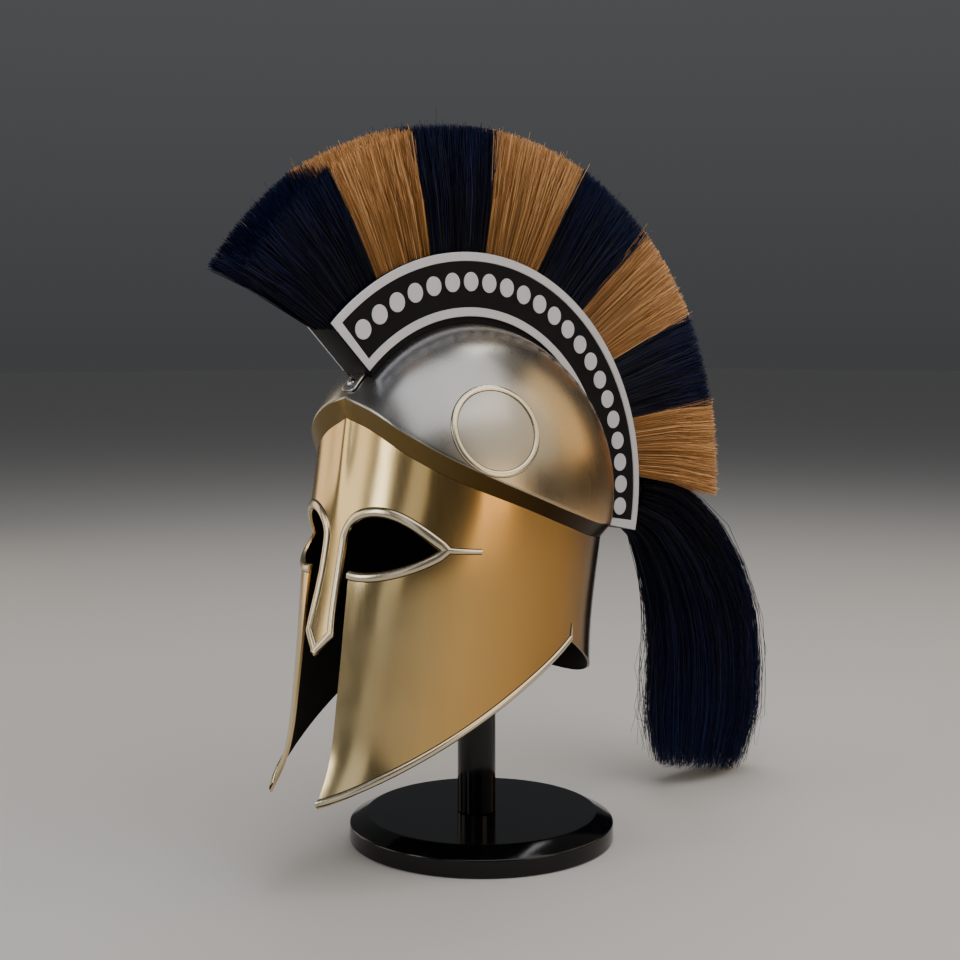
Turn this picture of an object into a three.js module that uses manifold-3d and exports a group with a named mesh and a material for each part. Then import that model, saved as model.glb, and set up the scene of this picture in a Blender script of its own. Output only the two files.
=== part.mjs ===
// Crested helmet of the Corinthian kind on a round display stand.
// Millimetres, +Z up. The helmet looks along -Y and the wearer's left side is +X.
// The origin is the centre of the underside of the stand's foot.

import * as THREE from 'three';
import { mergeVertices } from 'three/addons/utils/BufferGeometryUtils.js';
import Module from 'manifold-3d';

const wasm = await Module();
wasm.setup();

// Sheet metal and fits
const sheetWall = 1.8;
const fitGap = 0.3;

// Stand
const footRadius = 100;
const footTopRadius = 86.5;
const footRimHeight = 13;
const footThickness = 20;
const postRadius = 14;
const postForward = 5;
const padRadius = 34;
const padDepth = 30;

// Skull, half an ellipsoid whose centre is the helmet's own origin
const skullWidth = 199;
const skullLength = 257;
const skullRise = 128.5;
const skullHeight = 260;
const skullSetback = 22.4;

// Band, the slanting step between the skull and the face
const bandFrontRise = 76;
const bandRearDrop = 23;
const bandHeight = 14.4;
const lapHeight = 6;

// Face guard
const cheekDrop = 199.3;
const cheekSag = 4;
const cheekBow = -5;
const slitTopWidth = 45.6;
const slitTipWidth = 55.8;
const notchBack = 37.8;
const notchDrop = 100.7;
const napeDrop = 143;
const frontFullness = 2.25;
const rearFullness = 2;
const creaseWidth = 9;
const noseWidth = 20;

// Nasal bar and eyes
const nasalWidth = 24;
const nasalWaist = 23;
const nasalWaistDrop = 44;
const nasalTipWidth = 31.4;
const nasalShoulderDrop = 86.8;
const nasalDrop = 101.6;
const eyeSpan = 60.2;
const eyeTopDrop = 4.2;
const eyeHeight = 37.2;
const eyeTailLength = 9.7;
const eyeTailDrop = 1.2;

// Trims soldered on the sheet
const eyeTrimWidth = 6.4;
const eyeTailWidth = 4.4;
const cheekTrimWidth = 4.6;
const trimHeight = 2.4;
const spikeLength = 11;
const spikeWidth = 2.2;
const ringRadius = 31;
const ringWire = 2.3;
const ringTurn = 71;
const ringRise = 54.5;

// Crest box, a channel bent round the skull's own centre
const crestFrontAngle = 45;
const crestRearAngle = 192;
const panelRise = 3.8;
const panelWidth = 46.1;
const crestWidth = 31;
const crestWall = 1.3;
const crestEndWall = 2;
const plateThickness = 1;
const reliefHeight = 0.6;
const borderWidth = 6.5;
const dotDiameter = 14.2;
const dotsPerSide = 22;
const dotInset = 16.5;
const dotRise = 24.9;

// Bracket that holds the front of the crest box
const bracketWidth = 14;
const bracketReach = 15.5;
const bracketWall = 1.5;
const rivetPlace = 0.55;
const rivetRadius = 3.2;
const rivetHeight = 1.8;

// Plume
const plumeLength = 86;
const plumeCrown = 4;
const plumeTipWidth = 48;
const locksPerBand = 3;
const lockOverlap = 1.5;
const lockRagged = 0.02;
const hairInBox = 8.6;
const tailLift = 6;
const tailLength = 231;
const tailReach = 96;

// Fineness of the curved sheets
const turnSteps = 40;
const frontBias = 0.3;
const skullRows = 6;
const faceRows = 8;
const crestSteps = 20;

// How far the uncut sheet and the cutters run past the finished edges
const runout = 1.01;
const oversize = 1.2;

// Section table of the face guard: 'at' is the share of the cheek's drop below the skull's
// centre, 'width' a share of half the skull's width, 'front' and 'rear' of half its length
const faceSections = [
  { at: -0.40, width: 0.915, front: 0.752, rear: 0.930 },
  { at: -0.30, width: 0.930, front: 0.775, rear: 0.935 },
  { at: -0.05, width: 0.940, front: 0.840, rear: 0.935 },
  { at: 0.10, width: 0.930, front: 0.894, rear: 0.918 },
  { at: 0.22, width: 0.915, front: 0.941, rear: 0.890 },
  { at: 0.38, width: 0.885, front: 0.980, rear: 0.858 },
  { at: 0.51, width: 0.865, front: 1.007, rear: 0.842 },
  { at: 0.64, width: 0.850, front: 1.037, rear: 0.845 },
  { at: 0.80, width: 0.835, front: 1.079, rear: 0.880 },
  { at: 0.90, width: 0.820, front: 1.131, rear: 0.880 },
  { at: 1.01, width: 0.800, front: 1.236, rear: 0.880 },
];

// Middle of the face at the same heights: 'crease' is the height of the upright crease in the
// forehead, and 'back' is how far the nasal bar lies behind the cheeks' surface
const noseCourse = [
  { at: -0.40, crease: 3.0, back: 0.0 },
  { at: -0.20, crease: 2.6, back: 0.0 },
  { at: 0.00, crease: 0.8, back: 0.0 },
  { at: 0.10, crease: 0.0, back: 1.8 },
  { at: 0.21, crease: 0.0, back: 3.2 },
  { at: 0.28, crease: 0.0, back: 2.5 },
  { at: 0.35, crease: 0.0, back: 1.1 },
  { at: 0.43, crease: 0.0, back: -0.3 },
  { at: 0.51, crease: 0.0, back: -2.8 },
];

// Course of the band: 'at' in degrees from the front, 'rise' the share of the way from the
// band's rear level to its front peak, 'depth' a share of the band's height
const bandCourse = [
  { at: 0, rise: 1.000, depth: 1.00 },
  { at: 20, rise: 0.910, depth: 1.08 },
  { at: 40, rise: 0.735, depth: 1.06 },
  { at: 60, rise: 0.537, depth: 0.93 },
  { at: 80, rise: 0.350, depth: 0.76 },
  { at: 100, rise: 0.180, depth: 0.68 },
  { at: 120, rise: 0.062, depth: 0.68 },
  { at: 150, rise: 0.008, depth: 0.70 },
  { at: 180, rise: 0.000, depth: 0.70 },
];

// Borders between the plume's bands, as shares of the crest's arc from front to rear: 'root' at
// the box's rim and 'tip' at the clipped ends, 'length' a share of the plume's length. The last
// band is the tail.
const plumeBorders = [
  { root: 0.000, tip: -0.045, length: 0.90 },
  { root: 0.114, tip: 0.101, length: 0.98 },
  { root: 0.226, tip: 0.210, length: 1 },
  { root: 0.341, tip: 0.331, length: 1 },
  { root: 0.455, tip: 0.463, length: 1 },
  { root: 0.575, tip: 0.588, length: 1 },
  { root: 0.687, tip: 0.708, length: 1 },
  { root: 0.799, tip: 0.823, length: 1 },
  { root: 0.901, tip: 0.936, length: 1 },
  { root: 1.000, tip: 1.040, length: 1 },
];

// Tail of the plume: 'back' and 'down' give the place of its middle as shares of its reach and
// its length, from its root; 'wide' and 'thick' are half sizes as shares of the plume's tip width
const tailSections = [
  { back: 0.000, down: 0.000, wide: 0.42, thick: 0.28 },
  { back: 0.314, down: 0.055, wide: 0.62, thick: 0.40 },
  { back: 0.696, down: 0.236, wide: 0.88, thick: 0.52 },
  { back: 0.938, down: 0.459, wide: 1.06, thick: 0.57 },
  { back: 1.000, down: 0.690, wide: 1.10, thick: 0.58 },
  { back: 0.966, down: 0.877, wide: 1.06, thick: 0.56 },
  { back: 0.910, down: 1.000, wide: 0.80, thick: 0.40 },
];

const radians = THREE.MathUtils.degToRad;
const halfWidth = skullWidth / 2;
const halfLength = skullLength / 2;

// Smooth value of one column of a table, at a place between its rows
function readTable(rows, column, at) {
  const last = rows.length - 1;
  const next = Math.min(Math.max(rows.findIndex((row) => row.at > at), 1), last);
  const k = at >= rows[last].at ? last : next;
  const slope = (i) => {
    const a = rows[Math.max(i - 1, 0)];
    const b = rows[Math.min(i + 1, last)];
    return (b[column] - a[column]) / (b.at - a.at);
  };
  const span = rows[k].at - rows[k - 1].at;
  const t = THREE.MathUtils.clamp((at - rows[k - 1].at) / span, 0, 1);
  const s = t * t * (3 - 2 * t);
  const lead = slope(k - 1) * span * t * (1 - t) * (1 - t);
  const trail = slope(k) * span * t * t * (1 - t);
  return rows[k - 1][column] * (1 - s) + rows[k][column] * s + lead - trail;
}

// Position-only copy with shared vertices, without faces that have shrunk to a line,
// and with its faces turned outwards
function closedGeometry(source) {
  const bare = source.clone();
  bare.deleteAttribute('normal');
  bare.deleteAttribute('uv');
  const merged = mergeVertices(bare, 1e-4);
  const index = [...merged.index.array];
  const kept = [];
  for (let i = 0; i < index.length; i += 3) {
    const [a, b, c] = index.slice(i, i + 3);
    if (a !== b && b !== c && c !== a) kept.push(a, b, c);
  }
  if (signedVolume(merged, kept) < 0) kept.reverse();
  merged.setIndex(kept);
  return merged;
}

function signedVolume(geometry, index) {
  const corner = (i) => new THREE.Vector3().fromBufferAttribute(geometry.attributes.position, i);
  let sum = 0;
  for (let i = 0; i < index.length; i += 3) {
    const [a, b, c] = [corner(index[i]), corner(index[i + 1]), corner(index[i + 2])];
    sum += a.dot(b.cross(c));
  }
  return sum;
}

function toSolid(source) {
  const geometry = closedGeometry(source);
  return new wasm.Manifold(new wasm.Mesh({
    numProp: 3,
    vertProperties: new Float32Array(geometry.attributes.position.array),
    triVerts: new Uint32Array(geometry.index.array),
  }));
}

function toGeometry(solid) {
  const mesh = solid.getMesh();
  const geometry = new THREE.BufferGeometry();
  geometry.setAttribute('position', new THREE.BufferAttribute(mesh.vertProperties, 3));
  geometry.setIndex(new THREE.BufferAttribute(mesh.triVerts, 1));
  return geometry;
}

function joined(geometries) {
  return toGeometry(geometries.map(toSolid).reduce((a, b) => a.add(b)));
}

function cut(geometry, ...cutters) {
  return toGeometry(cutters.map(toSolid).reduce((a, b) => a.subtract(b), toSolid(geometry)));
}

function common(a, b) {
  return toGeometry(toSolid(a).intersect(toSolid(b)));
}

function mirrored(geometry) {
  return closedGeometry(geometry.clone().scale(-1, 1, 1));
}

// Solid that carries an outline through a row of places. A ring closes on itself, needs no
// caps, and splits its faces alike on the left and the right.
function sweep(outline, count, place, ring = false) {
  const corners = outline.length;
  const positions = [];
  for (let i = 0; i < count; i++) {
    for (const point of outline) positions.push(...place(i, point).toArray());
  }
  const index = [];
  for (let i = 0; i < (ring ? count : count - 1); i++) {
    const next = (i + 1) % count;
    for (let j = 0; j < corners; j++) {
      const a = i * corners + j;
      const b = i * corners + (j + 1) % corners;
      const c = next * corners + (j + 1) % corners;
      const d = next * corners + j;
      if (ring && i >= count / 2) index.push(a, b, d, b, c, d);
      else index.push(a, b, c, a, c, d);
    }
  }
  if (!ring) {
    const end = (count - 1) * corners;
    for (const [a, b, c] of THREE.ShapeUtils.triangulateShape(outline, [])) {
      index.push(a, c, b, end + a, end + b, end + c);
    }
  }
  const geometry = new THREE.BufferGeometry();
  geometry.setAttribute('position', new THREE.Float32BufferAttribute(positions, 3));
  geometry.setIndex(index);
  return closedGeometry(geometry);
}

// Outline in the side view (y, z), carried from -depth/2 to depth/2 along X
function sideExtrusion(points, depth) {
  const geometry = new THREE.ExtrudeGeometry(new THREE.Shape(points), { depth, bevelEnabled: false });
  const basis = new THREE.Matrix4().makeBasis(
    new THREE.Vector3(0, 1, 0), new THREE.Vector3(0, 0, 1), new THREE.Vector3(1, 0, 0));
  return geometry.translate(0, 0, -depth / 2).applyMatrix4(basis);
}

// Outline in the front view (x, z), carried forward from the middle plane
function frontExtrusion(points, depth) {
  const geometry = new THREE.ExtrudeGeometry(new THREE.Shape(points), { depth, bevelEnabled: false });
  const basis = new THREE.Matrix4().makeBasis(
    new THREE.Vector3(1, 0, 0), new THREE.Vector3(0, 0, 1), new THREE.Vector3(0, -1, 0));
  return geometry.applyMatrix4(basis);
}

// Turns round the helmet, from the front, closer together at the front
function turnAt(step) {
  const t = 2 * Math.PI * step / turnSteps;
  return t - frontBias * Math.sin(t);
}

function bandTop(turn) {
  const at = Math.abs(THREE.MathUtils.radToDeg(turn > Math.PI ? 2 * Math.PI - turn : turn));
  return -bandRearDrop + (bandFrontRise + bandRearDrop) * readTable(bandCourse, 'rise', at);
}

function bandBottom(turn) {
  const at = Math.abs(THREE.MathUtils.radToDeg(turn > Math.PI ? 2 * Math.PI - turn : turn));
  return bandTop(turn) - bandHeight * readTable(bandCourse, 'depth', at);
}

// Point of the skull's ellipsoid, 'share' of the way from its top to the band
function skullPoint(turn, share, grow = 0) {
  const edge = Math.asin(bandTop(turn) / (skullRise + grow));
  const up = Math.PI / 2 + share * (edge - Math.PI / 2);
  return new THREE.Vector3(
    (halfWidth + grow) * Math.cos(up) * Math.sin(turn),
    -(halfLength + grow) * Math.cos(up) * Math.cos(turn),
    (skullRise + grow) * Math.sin(up));
}

function faceReach(height, column, grow) {
  const share = readTable(faceSections, column, -height / cheekDrop);
  return share * (column === 'width' ? halfWidth : halfLength) + grow;
}

// How far the middle of the face stands proud of its round section
function noseAt(x, height) {
  const at = -height / cheekDrop;
  const crease = readTable(noseCourse, 'crease', at) * Math.exp(-((x / creaseWidth) ** 2));
  const bar = 1 - THREE.MathUtils.smoothstep(Math.abs(x), noseWidth / 2, noseWidth);
  return crease - readTable(noseCourse, 'back', at) * bar;
}

// Point of the face guard's outer surface at a turn and a height
function facePoint(turn, height, grow = 0) {
  const front = Math.cos(turn) > 0;
  const fullness = front ? frontFullness : rearFullness;
  const side = faceReach(height, 'width', grow);
  const reach = faceReach(height, front ? 'front' : 'rear', grow);
  const across = halfWidth * Math.sin(turn);
  const along = -halfLength * Math.cos(turn);
  const size = Math.abs(across / side) ** fullness + Math.abs(along / reach) ** fullness;
  const scale = size ** (-1 / fullness);
  const nose = front ? noseAt(scale * across, height) : 0;
  return new THREE.Vector3(scale * across, scale * along - nose, height);
}

function faceFromFront(x, height) {
  const side = faceReach(height, 'width', 0);
  const reach = faceReach(height, 'front', 0);
  const inner = Math.max(1 - Math.abs(x / side) ** frontFullness, 0);
  return new THREE.Vector3(x, -reach * inner ** (1 / frontFullness) - noseAt(x, height), height);
}

function faceFromSide(y, height) {
  const front = y < 0;
  const fullness = front ? frontFullness : rearFullness;
  const reach = faceReach(height, front ? 'front' : 'rear', 0);
  const inner = Math.max(1 - Math.abs(y / reach) ** fullness, 0);
  return new THREE.Vector3(faceReach(height, 'width', 0) * inner ** (1 / fullness), y, height);
}

function faceNormal(point) {
  const turn = Math.atan2(point.x / halfWidth, -point.y / halfLength);
  const step = 0.01;
  const round = facePoint(turn + step, point.z).sub(facePoint(turn - step, point.z));
  const down = facePoint(turn, point.z - 1).sub(facePoint(turn, point.z + 1));
  return round.cross(down).normalize().negate();
}

// One sheet of the skull: outside down to the band, in across the band, and back up inside
function skullProfile(turn) {
  const rows = [...Array(skullRows + 1).keys()].map((i) => i / skullRows);
  const outside = rows.map((share) => skullPoint(turn, share));
  const inside = rows.map((share) => skullPoint(turn, share, -sheetWall)).reverse();
  const lip = bandBottom(turn);
  return [...outside, facePoint(turn, lip), facePoint(turn, lip, -sheetWall), ...inside];
}

function skullBlockProfile(grow) {
  return (turn) => {
    const rows = [...Array(skullRows + 1).keys()].map((i) => i / skullRows);
    const outside = rows.map((share) => skullPoint(turn, share, grow));
    const lip = bandBottom(turn);
    return [...outside, facePoint(turn, lip, grow), new THREE.Vector3(0, 0, -bandRearDrop)];
  };
}

// The face guard's sheet before its openings are cut: its top is stepped in by one wall, so
// that it slides up behind the skull's lip
function faceProfile(turn) {
  const lip = bandBottom(turn);
  const step = sheetWall + fitGap;
  const outside = faceLevels(turn).map((height) => facePoint(turn, height));
  const inside = faceLevels(turn).map((height) => facePoint(turn, height, -sheetWall)).reverse();
  inside.pop();
  return [
    facePoint(turn, lip + lapHeight, -step),
    facePoint(turn, lip - fitGap, -step),
    ...outside,
    ...inside,
    facePoint(turn, lip - step, -sheetWall),
    facePoint(turn, lip - step, -step - sheetWall),
    facePoint(turn, lip + lapHeight, -step - sheetWall),
  ];
}

function faceLevels(turn) {
  const top = bandBottom(turn) - fitGap;
  const bottom = -cheekDrop * runout;
  return [...Array(faceRows + 1).keys()].map((i) => top + (bottom - top) * i / faceRows);
}

function faceBlockProfile(grow) {
  return (turn) => {
    const top = facePoint(turn, bandBottom(turn), grow);
    const levels = faceLevels(turn).map((height) => facePoint(turn, height, grow));
    const axis = [-cheekDrop * runout, -bandRearDrop * 2].map((z) => new THREE.Vector3(0, 0, z));
    return [top, ...levels, ...axis];
  };
}

// Sheet or block turned round the helmet's axis from a profile that changes with the turn
function turned(profileAt) {
  const profiles = [...Array(turnSteps).keys()].map((step) => profileAt(turnAt(step)));
  const corners = [...profiles[0].keys()];
  return sweep(corners, turnSteps, (step, corner) => profiles[step][corner], true);
}

// Right half of the face's opening in the front view, from the nasal's tip to the cheek's tip
function openingEdges() {
  const nasal = nasalWidth / 2;
  const at = (x, z) => new THREE.Vector2(nasal + x * eyeSpan, -eyeTopDrop - z * eyeHeight);
  const lidEnd = new THREE.Vector2(slitTopWidth / 2, -eyeTopDrop - eyeHeight);
  const cheekTip = new THREE.Vector2(slitTipWidth / 2, -cheekDrop);
  const curve = (...points) => new THREE.CubicBezierCurve(...points);
  return {
    nasal: [
      new THREE.Vector2(0, -nasalDrop),
      new THREE.Vector2(nasalTipWidth / 2, -nasalShoulderDrop),
      new THREE.Vector2((nasalTipWidth + nasalWaist * 2) / 6, -(nasalShoulderDrop + nasalWaistDrop) / 2),
      new THREE.Vector2(nasalWaist / 2, -nasalWaistDrop),
      at(0, 0.52),
    ],
    brow: [
      ...curve(at(0, 0.52), at(0, 0.18), at(0.19, 0), at(0.413, 0)).getPoints(4),
      ...curve(at(0.413, 0), at(0.68, 0), at(0.86, 0.295), at(1, 0.595)).getPoints(4).slice(1),
    ],
    lid: curve(at(1, 0.595), at(0.88, 0.85), at(0.55, 1.1), lidEnd).getPoints(5),
    cheek: curve(
      lidEnd,
      lidEnd.clone().lerp(cheekTip, 0.38),
      lidEnd.clone().lerp(cheekTip, 0.78).add(new THREE.Vector2(cheekBow, 0)),
      cheekTip,
    ).getPoints(6),
  };
}

function openingCutter() {
  const { nasal, brow, lid, cheek } = openingEdges();
  const below = new THREE.Vector2(slitTipWidth / 2, -cheekDrop * oversize);
  const right = [...nasal.slice(0, -1), ...brow, ...lid.slice(1), ...cheek.slice(1), below];
  const left = right.slice(1).reverse().map((p) => new THREE.Vector2(-p.x, p.y));
  return frontExtrusion([...right, ...left], skullLength);
}

// Lower edge of the helmet in the side view: cheek tip, notch and nape
function lowerEdge() {
  const tip = faceFromFront(slitTipWidth / 2, -cheekDrop);
  const start = new THREE.Vector2(tip.y, -cheekDrop);
  const notch = new THREE.Vector2(notchBack, -notchDrop);
  const middle = start.clone().lerp(notch, 0.5).add(new THREE.Vector2(0, -cheekSag));
  const nape = new THREE.Vector2(faceReach(-napeDrop, 'rear', 0), -napeDrop);
  return {
    cheek: new THREE.QuadraticBezierCurve(start, middle, notch).getPoints(8),
    nape: [notch, nape, nape.clone().lerp(notch, -0.5)],
  };
}

function lowerCutter() {
  const { cheek, nape } = lowerEdge();
  const ahead = cheek[0].clone().lerp(cheek[1], -2);
  const floor = -cheekDrop * oversize;
  const corners = [
    new THREE.Vector2(nape[2].x, floor),
    new THREE.Vector2(ahead.x, floor),
  ];
  return sideExtrusion([ahead, ...cheek, ...nape.slice(1), ...corners], skullWidth * oversize);
}

function faceGuard() {
  return cut(turned(faceProfile), openingCutter(), lowerCutter());
}

// Line moved sideways, to its left where the distance is positive
function offsetLine(points, distance) {
  return points.map((point, i) => {
    const before = points[Math.max(i - 1, 0)];
    const after = points[Math.min(i + 1, points.length - 1)];
    const along = after.clone().sub(before).normalize();
    return new THREE.Vector2(point.x - along.y * distance, point.y + along.x * distance);
  });
}

function hexagon(halfWide, halfHigh) {
  return [...Array(6).keys()].map((k) => {
    return new THREE.Vector2(halfWide * Math.cos(Math.PI * k / 3), halfHigh * Math.sin(Math.PI * k / 3));
  });
}

// Flat-topped bead along points of the face, half sunk in the sheet's surface
function bead(points, width, height) {
  const normals = points.map(faceNormal);
  const oval = hexagon(width / 2, height / Math.sin(Math.PI / 3));
  return sweep(oval, points.length, (i, p) => {
    const before = points[Math.max(i - 1, 0)];
    const after = points[Math.min(i + 1, points.length - 1)];
    const side = after.clone().sub(before).cross(normals[i]).normalize();
    return points[i].clone().addScaledVector(side, p.x).addScaledVector(normals[i], p.y);
  });
}

// Bead round one eye: down the nasal, over the brow, the lower lid, and the tail at the corner
function eyeTrim() {
  const { nasal, brow, lid } = openingEdges();
  const half = eyeTrimWidth / 2;
  const corner = brow[brow.length - 1].clone().add(new THREE.Vector2(half, 0));
  const onFace = (line) => line.map((p) => faceFromFront(p.x, p.y));
  const upper = [...offsetLine([...nasal.slice(0, -1), ...brow.slice(0, -1)], half), corner];
  const lower = [corner, ...offsetLine(lid.slice(1), half)];
  const tail = [0, 0.5, 1].map((t) => {
    return corner.clone().add(new THREE.Vector2(eyeTailLength * t, -eyeTailDrop));
  });
  const beads = [
    bead(onFace(upper), eyeTrimWidth, trimHeight),
    bead(onFace(lower), eyeTrimWidth, trimHeight),
    bead(onFace(tail), eyeTailWidth, trimHeight),
  ];
  const side = new THREE.BoxGeometry(skullWidth, skullLength * 2, cheekDrop * 3);
  side.translate((skullWidth + fitGap) / 2, 0, 0);
  return common(cut(joined(beads), turned(faceBlockProfile(fitGap))), side);
}

// Strip along one cheek's lower edge, with the small spike above the notch
function cheekTrim() {
  const { cheek } = lowerEdge();
  const inset = offsetLine(cheek, cheekTrimWidth / 2);
  const strip = bead(inset.map((p) => faceFromSide(p.x, p.y)), cheekTrimWidth, trimHeight);
  const root = inset[inset.length - 1];
  const spike = [0, 0.5, 1].map((t) => faceFromSide(root.x, root.y + t * spikeLength));
  const beads = [strip, bead(spike, spikeWidth, trimHeight)];
  return cut(joined(beads), turned(faceBlockProfile(fitGap)), openingCutter());
}

// Thin ring on the skull's side, bent to the ellipsoid
function sideRing() {
  const turn = radians(ringTurn);
  const up = Math.asin(ringRise / skullRise);
  const centre = new THREE.Vector3(
    halfWidth * Math.cos(up) * Math.sin(turn), -halfLength * Math.cos(up) * Math.cos(turn), ringRise);
  const outward = centre.clone().divide(new THREE.Vector3(halfWidth ** 2, halfLength ** 2, skullRise ** 2));
  const toWorld = new THREE.Matrix4().lookAt(outward, new THREE.Vector3(), new THREE.Vector3(0, 0, 1));
  const ring = new THREE.TorusGeometry(ringRadius, ringWire, 4, 20).applyMatrix4(toWorld);
  ring.translate(...centre.toArray());
  const position = ring.attributes.position;
  const axis = outward.clone().normalize();
  for (let i = 0; i < position.count; i++) {
    const point = new THREE.Vector3().fromBufferAttribute(position, i);
    point.addScaledVector(axis, depthToSkull(point, axis));
    position.setXYZ(i, ...point.toArray());
  }
  return cut(closedGeometry(ring), turned(skullBlockProfile(fitGap)));
}

// How far the ellipsoid lies along an axis from the tangent plane, over or under a point
function depthToSkull(point, axis) {
  const size = new THREE.Vector3(halfWidth, halfLength, skullRise);
  const p = point.clone().divide(size);
  const d = axis.clone().divide(size);
  const [a, b] = [d.dot(d), 2 * p.dot(d)];
  const onSkull = (-b + Math.sqrt(Math.max(b * b - 4 * a * (p.dot(p) - 1), 0))) / (2 * a);
  const flat = point.clone().dot(axis) - ringPlane(axis);
  return onSkull + flat;
}

function ringPlane(axis) {
  const size = new THREE.Vector3(halfWidth, halfLength, skullRise);
  return axis.clone().multiply(size).length();
}

// Place in the crest's arc: degrees up from the front, radius, and distance to the left
function onArc(degrees, radius, x = 0) {
  const angle = radians(degrees);
  return new THREE.Vector3(x, -radius * Math.cos(angle), radius * Math.sin(angle));
}

function arcOutline(inner, outer, trim) {
  const shrink = (radius) => THREE.MathUtils.radToDeg(trim / radius);
  const edge = (radius, from, to) => [...Array(crestSteps + 1).keys()].map((i) => {
    const place = onArc(THREE.MathUtils.lerp(from, to, i / crestSteps), radius);
    return new THREE.Vector2(place.y, place.z);
  });
  return [
    ...edge(outer, crestFrontAngle + shrink(outer), crestRearAngle - shrink(outer)),
    ...edge(inner, crestRearAngle - shrink(inner), crestFrontAngle + shrink(inner)),
  ];
}

// The crest's arcs: the floor clears the bracket that runs in under it, and the walls go down
// past the skull's surface, which cuts them
const crestSeat = Math.max(halfLength, skullRise);
const crestFloor = crestSeat + fitGap + bracketWall + fitGap;
const channelFloor = crestFloor + crestWall;
const panelRadius = crestSeat + panelRise;
const crestRadius = panelRadius + panelWidth;
const wallFoot = Math.min(halfLength, skullRise) - panelRise * 2;
const wellOverCrest = crestRadius + panelRise * 2;
const outerHalf = crestWidth / 2 - plateThickness - reliefHeight - fitGap;
const innerHalf = outerHalf - crestWall;

// Channel with a floor, seated on the skull and closed at both ends
function crestBox() {
  const wall = sideExtrusion(arcOutline(wallFoot, crestRadius, 0), outerHalf * 2);
  const trough = sideExtrusion(arcOutline(channelFloor, wellOverCrest, crestEndWall), innerHalf * 2);
  const saddle = sideExtrusion(arcOutline(wallFoot - crestWall, crestFloor, -crestWall), innerHalf * 2);
  return cut(wall, trough, saddle, turned(skullBlockProfile(fitGap)));
}

// Silver plate on one side: raised border and a row of raised dots
function crestPlate() {
  const back = outerHalf + fitGap;
  const face = (points, thickness) => {
    return sideExtrusion(points, thickness).translate(back + thickness / 2, 0, 0);
  };
  const full = plateThickness + reliefHeight;
  const plate = face(arcOutline(panelRadius, crestRadius, 0), plateThickness);
  const frame = face(arcOutline(panelRadius, crestRadius, 0), full);
  const window = face(
    arcOutline(panelRadius + borderWidth, crestRadius - borderWidth, borderWidth), full * 3);
  const dotRadius = panelRadius + dotRise;
  const inset = THREE.MathUtils.radToDeg(dotInset / dotRadius);
  const dots = [...Array(dotsPerSide).keys()].map((i) => {
    const share = i / (dotsPerSide - 1);
    const angle = THREE.MathUtils.lerp(crestFrontAngle + inset, crestRearAngle - inset, share);
    const place = onArc(angle, dotRadius, back + full / 2);
    const dot = new THREE.CylinderGeometry(dotDiameter / 2, dotDiameter / 2, full, 8);
    return dot.rotateZ(Math.PI / 2).translate(...place.toArray());
  });
  return joined([plate, cut(frame, window), ...dots]);
}

// Radius of the skull's outline in the middle plane, degrees up from the front
function skullRadius(degrees) {
  const angle = radians(degrees);
  return 1 / Math.hypot(Math.cos(angle) / halfLength, Math.sin(angle) / skullRise);
}

const bracketSpan = THREE.MathUtils.radToDeg(bracketReach / halfLength);

// Strap that lies on the skull and runs in under the crest box
function frontBracket() {
  const edge = (rise) => [-1, -0.5, 0, 0.5].map((share) => {
    const degrees = crestFrontAngle + share * bracketSpan;
    const place = onArc(degrees, skullRadius(degrees) + rise);
    return new THREE.Vector2(place.y, place.z);
  });
  const strap = [...edge(fitGap + bracketWall), ...edge(-bracketWall * 2).reverse()];
  return cut(sideExtrusion(strap, bracketWidth), turned(skullBlockProfile(fitGap)));
}

function frontRivet() {
  const profile = [[0, 0], [1, 0], [0.94, 0.45], [0.7, 0.82], [0.36, 0.97], [0, 1]];
  const points = profile.map(([r, h]) => new THREE.Vector2(r * rivetRadius, h * rivetHeight));
  const degrees = crestFrontAngle - bracketSpan * rivetPlace;
  const place = onArc(degrees, skullRadius(degrees) + bracketWall + fitGap * 2);
  return new THREE.LatheGeometry(points, 12)
    .rotateX(radians(180 - degrees))
    .translate(...place.toArray());
}

// Angles of one border of the plume at the box's rim and at the tips, and its hair's length
function borderAngles(number) {
  const { root, tip, length } = plumeBorders[number];
  const along = (share) => THREE.MathUtils.lerp(crestFrontAngle, crestRearAngle, share);
  return { root: along(root), tip: along(tip), length };
}

// Space of one band between its two borders, in the side view
function bandWedge(number, gap = fitGap / 2) {
  const [from, to] = [borderAngles(number), borderAngles(number + 1)];
  const shift = (length, radius) => THREE.MathUtils.radToDeg(length / radius);
  const first = number === 0 ? crestEndWall + fitGap : gap;
  const last = number === plumeBorders.length - 2 ? crestEndWall + fitGap : gap;
  const far = crestRadius + plumeLength * oversize;
  const low = crestFloor;
  const corners = [
    onArc(from.root + shift(first, low), low),
    onArc(from.root + shift(first, crestRadius), crestRadius),
    onArc(from.tip + shift(gap, far), far),
    onArc((from.tip + to.tip) / 2, far * oversize),
    onArc(to.tip - shift(gap, far), far),
    onArc(to.root - shift(last, crestRadius), crestRadius),
    onArc(to.root - shift(last, low), low),
  ];
  return sideExtrusion(corners.map((p) => new THREE.Vector2(p.y, p.z)), plumeTipWidth * oversize);
}

// Strip of hair that stands in the crest box's channel
function plumeRoot(number) {
  const strip = sideExtrusion(
    arcOutline(channelFloor + fitGap, crestRadius + hairInBox, 0), (innerHalf - fitGap) * 2);
  return common(strip, bandWedge(number));
}

// Space that the crest box's walls and plates take up, with the fitting gap round it
function crestRim() {
  const block = sideExtrusion(arcOutline(wallFoot, crestRadius + fitGap, -fitGap), plumeTipWidth);
  const channel = sideExtrusion(
    arcOutline(channelFloor, wellOverCrest, crestEndWall), (innerHalf - fitGap / 2) * 2);
  return cut(block, channel);
}

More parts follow.
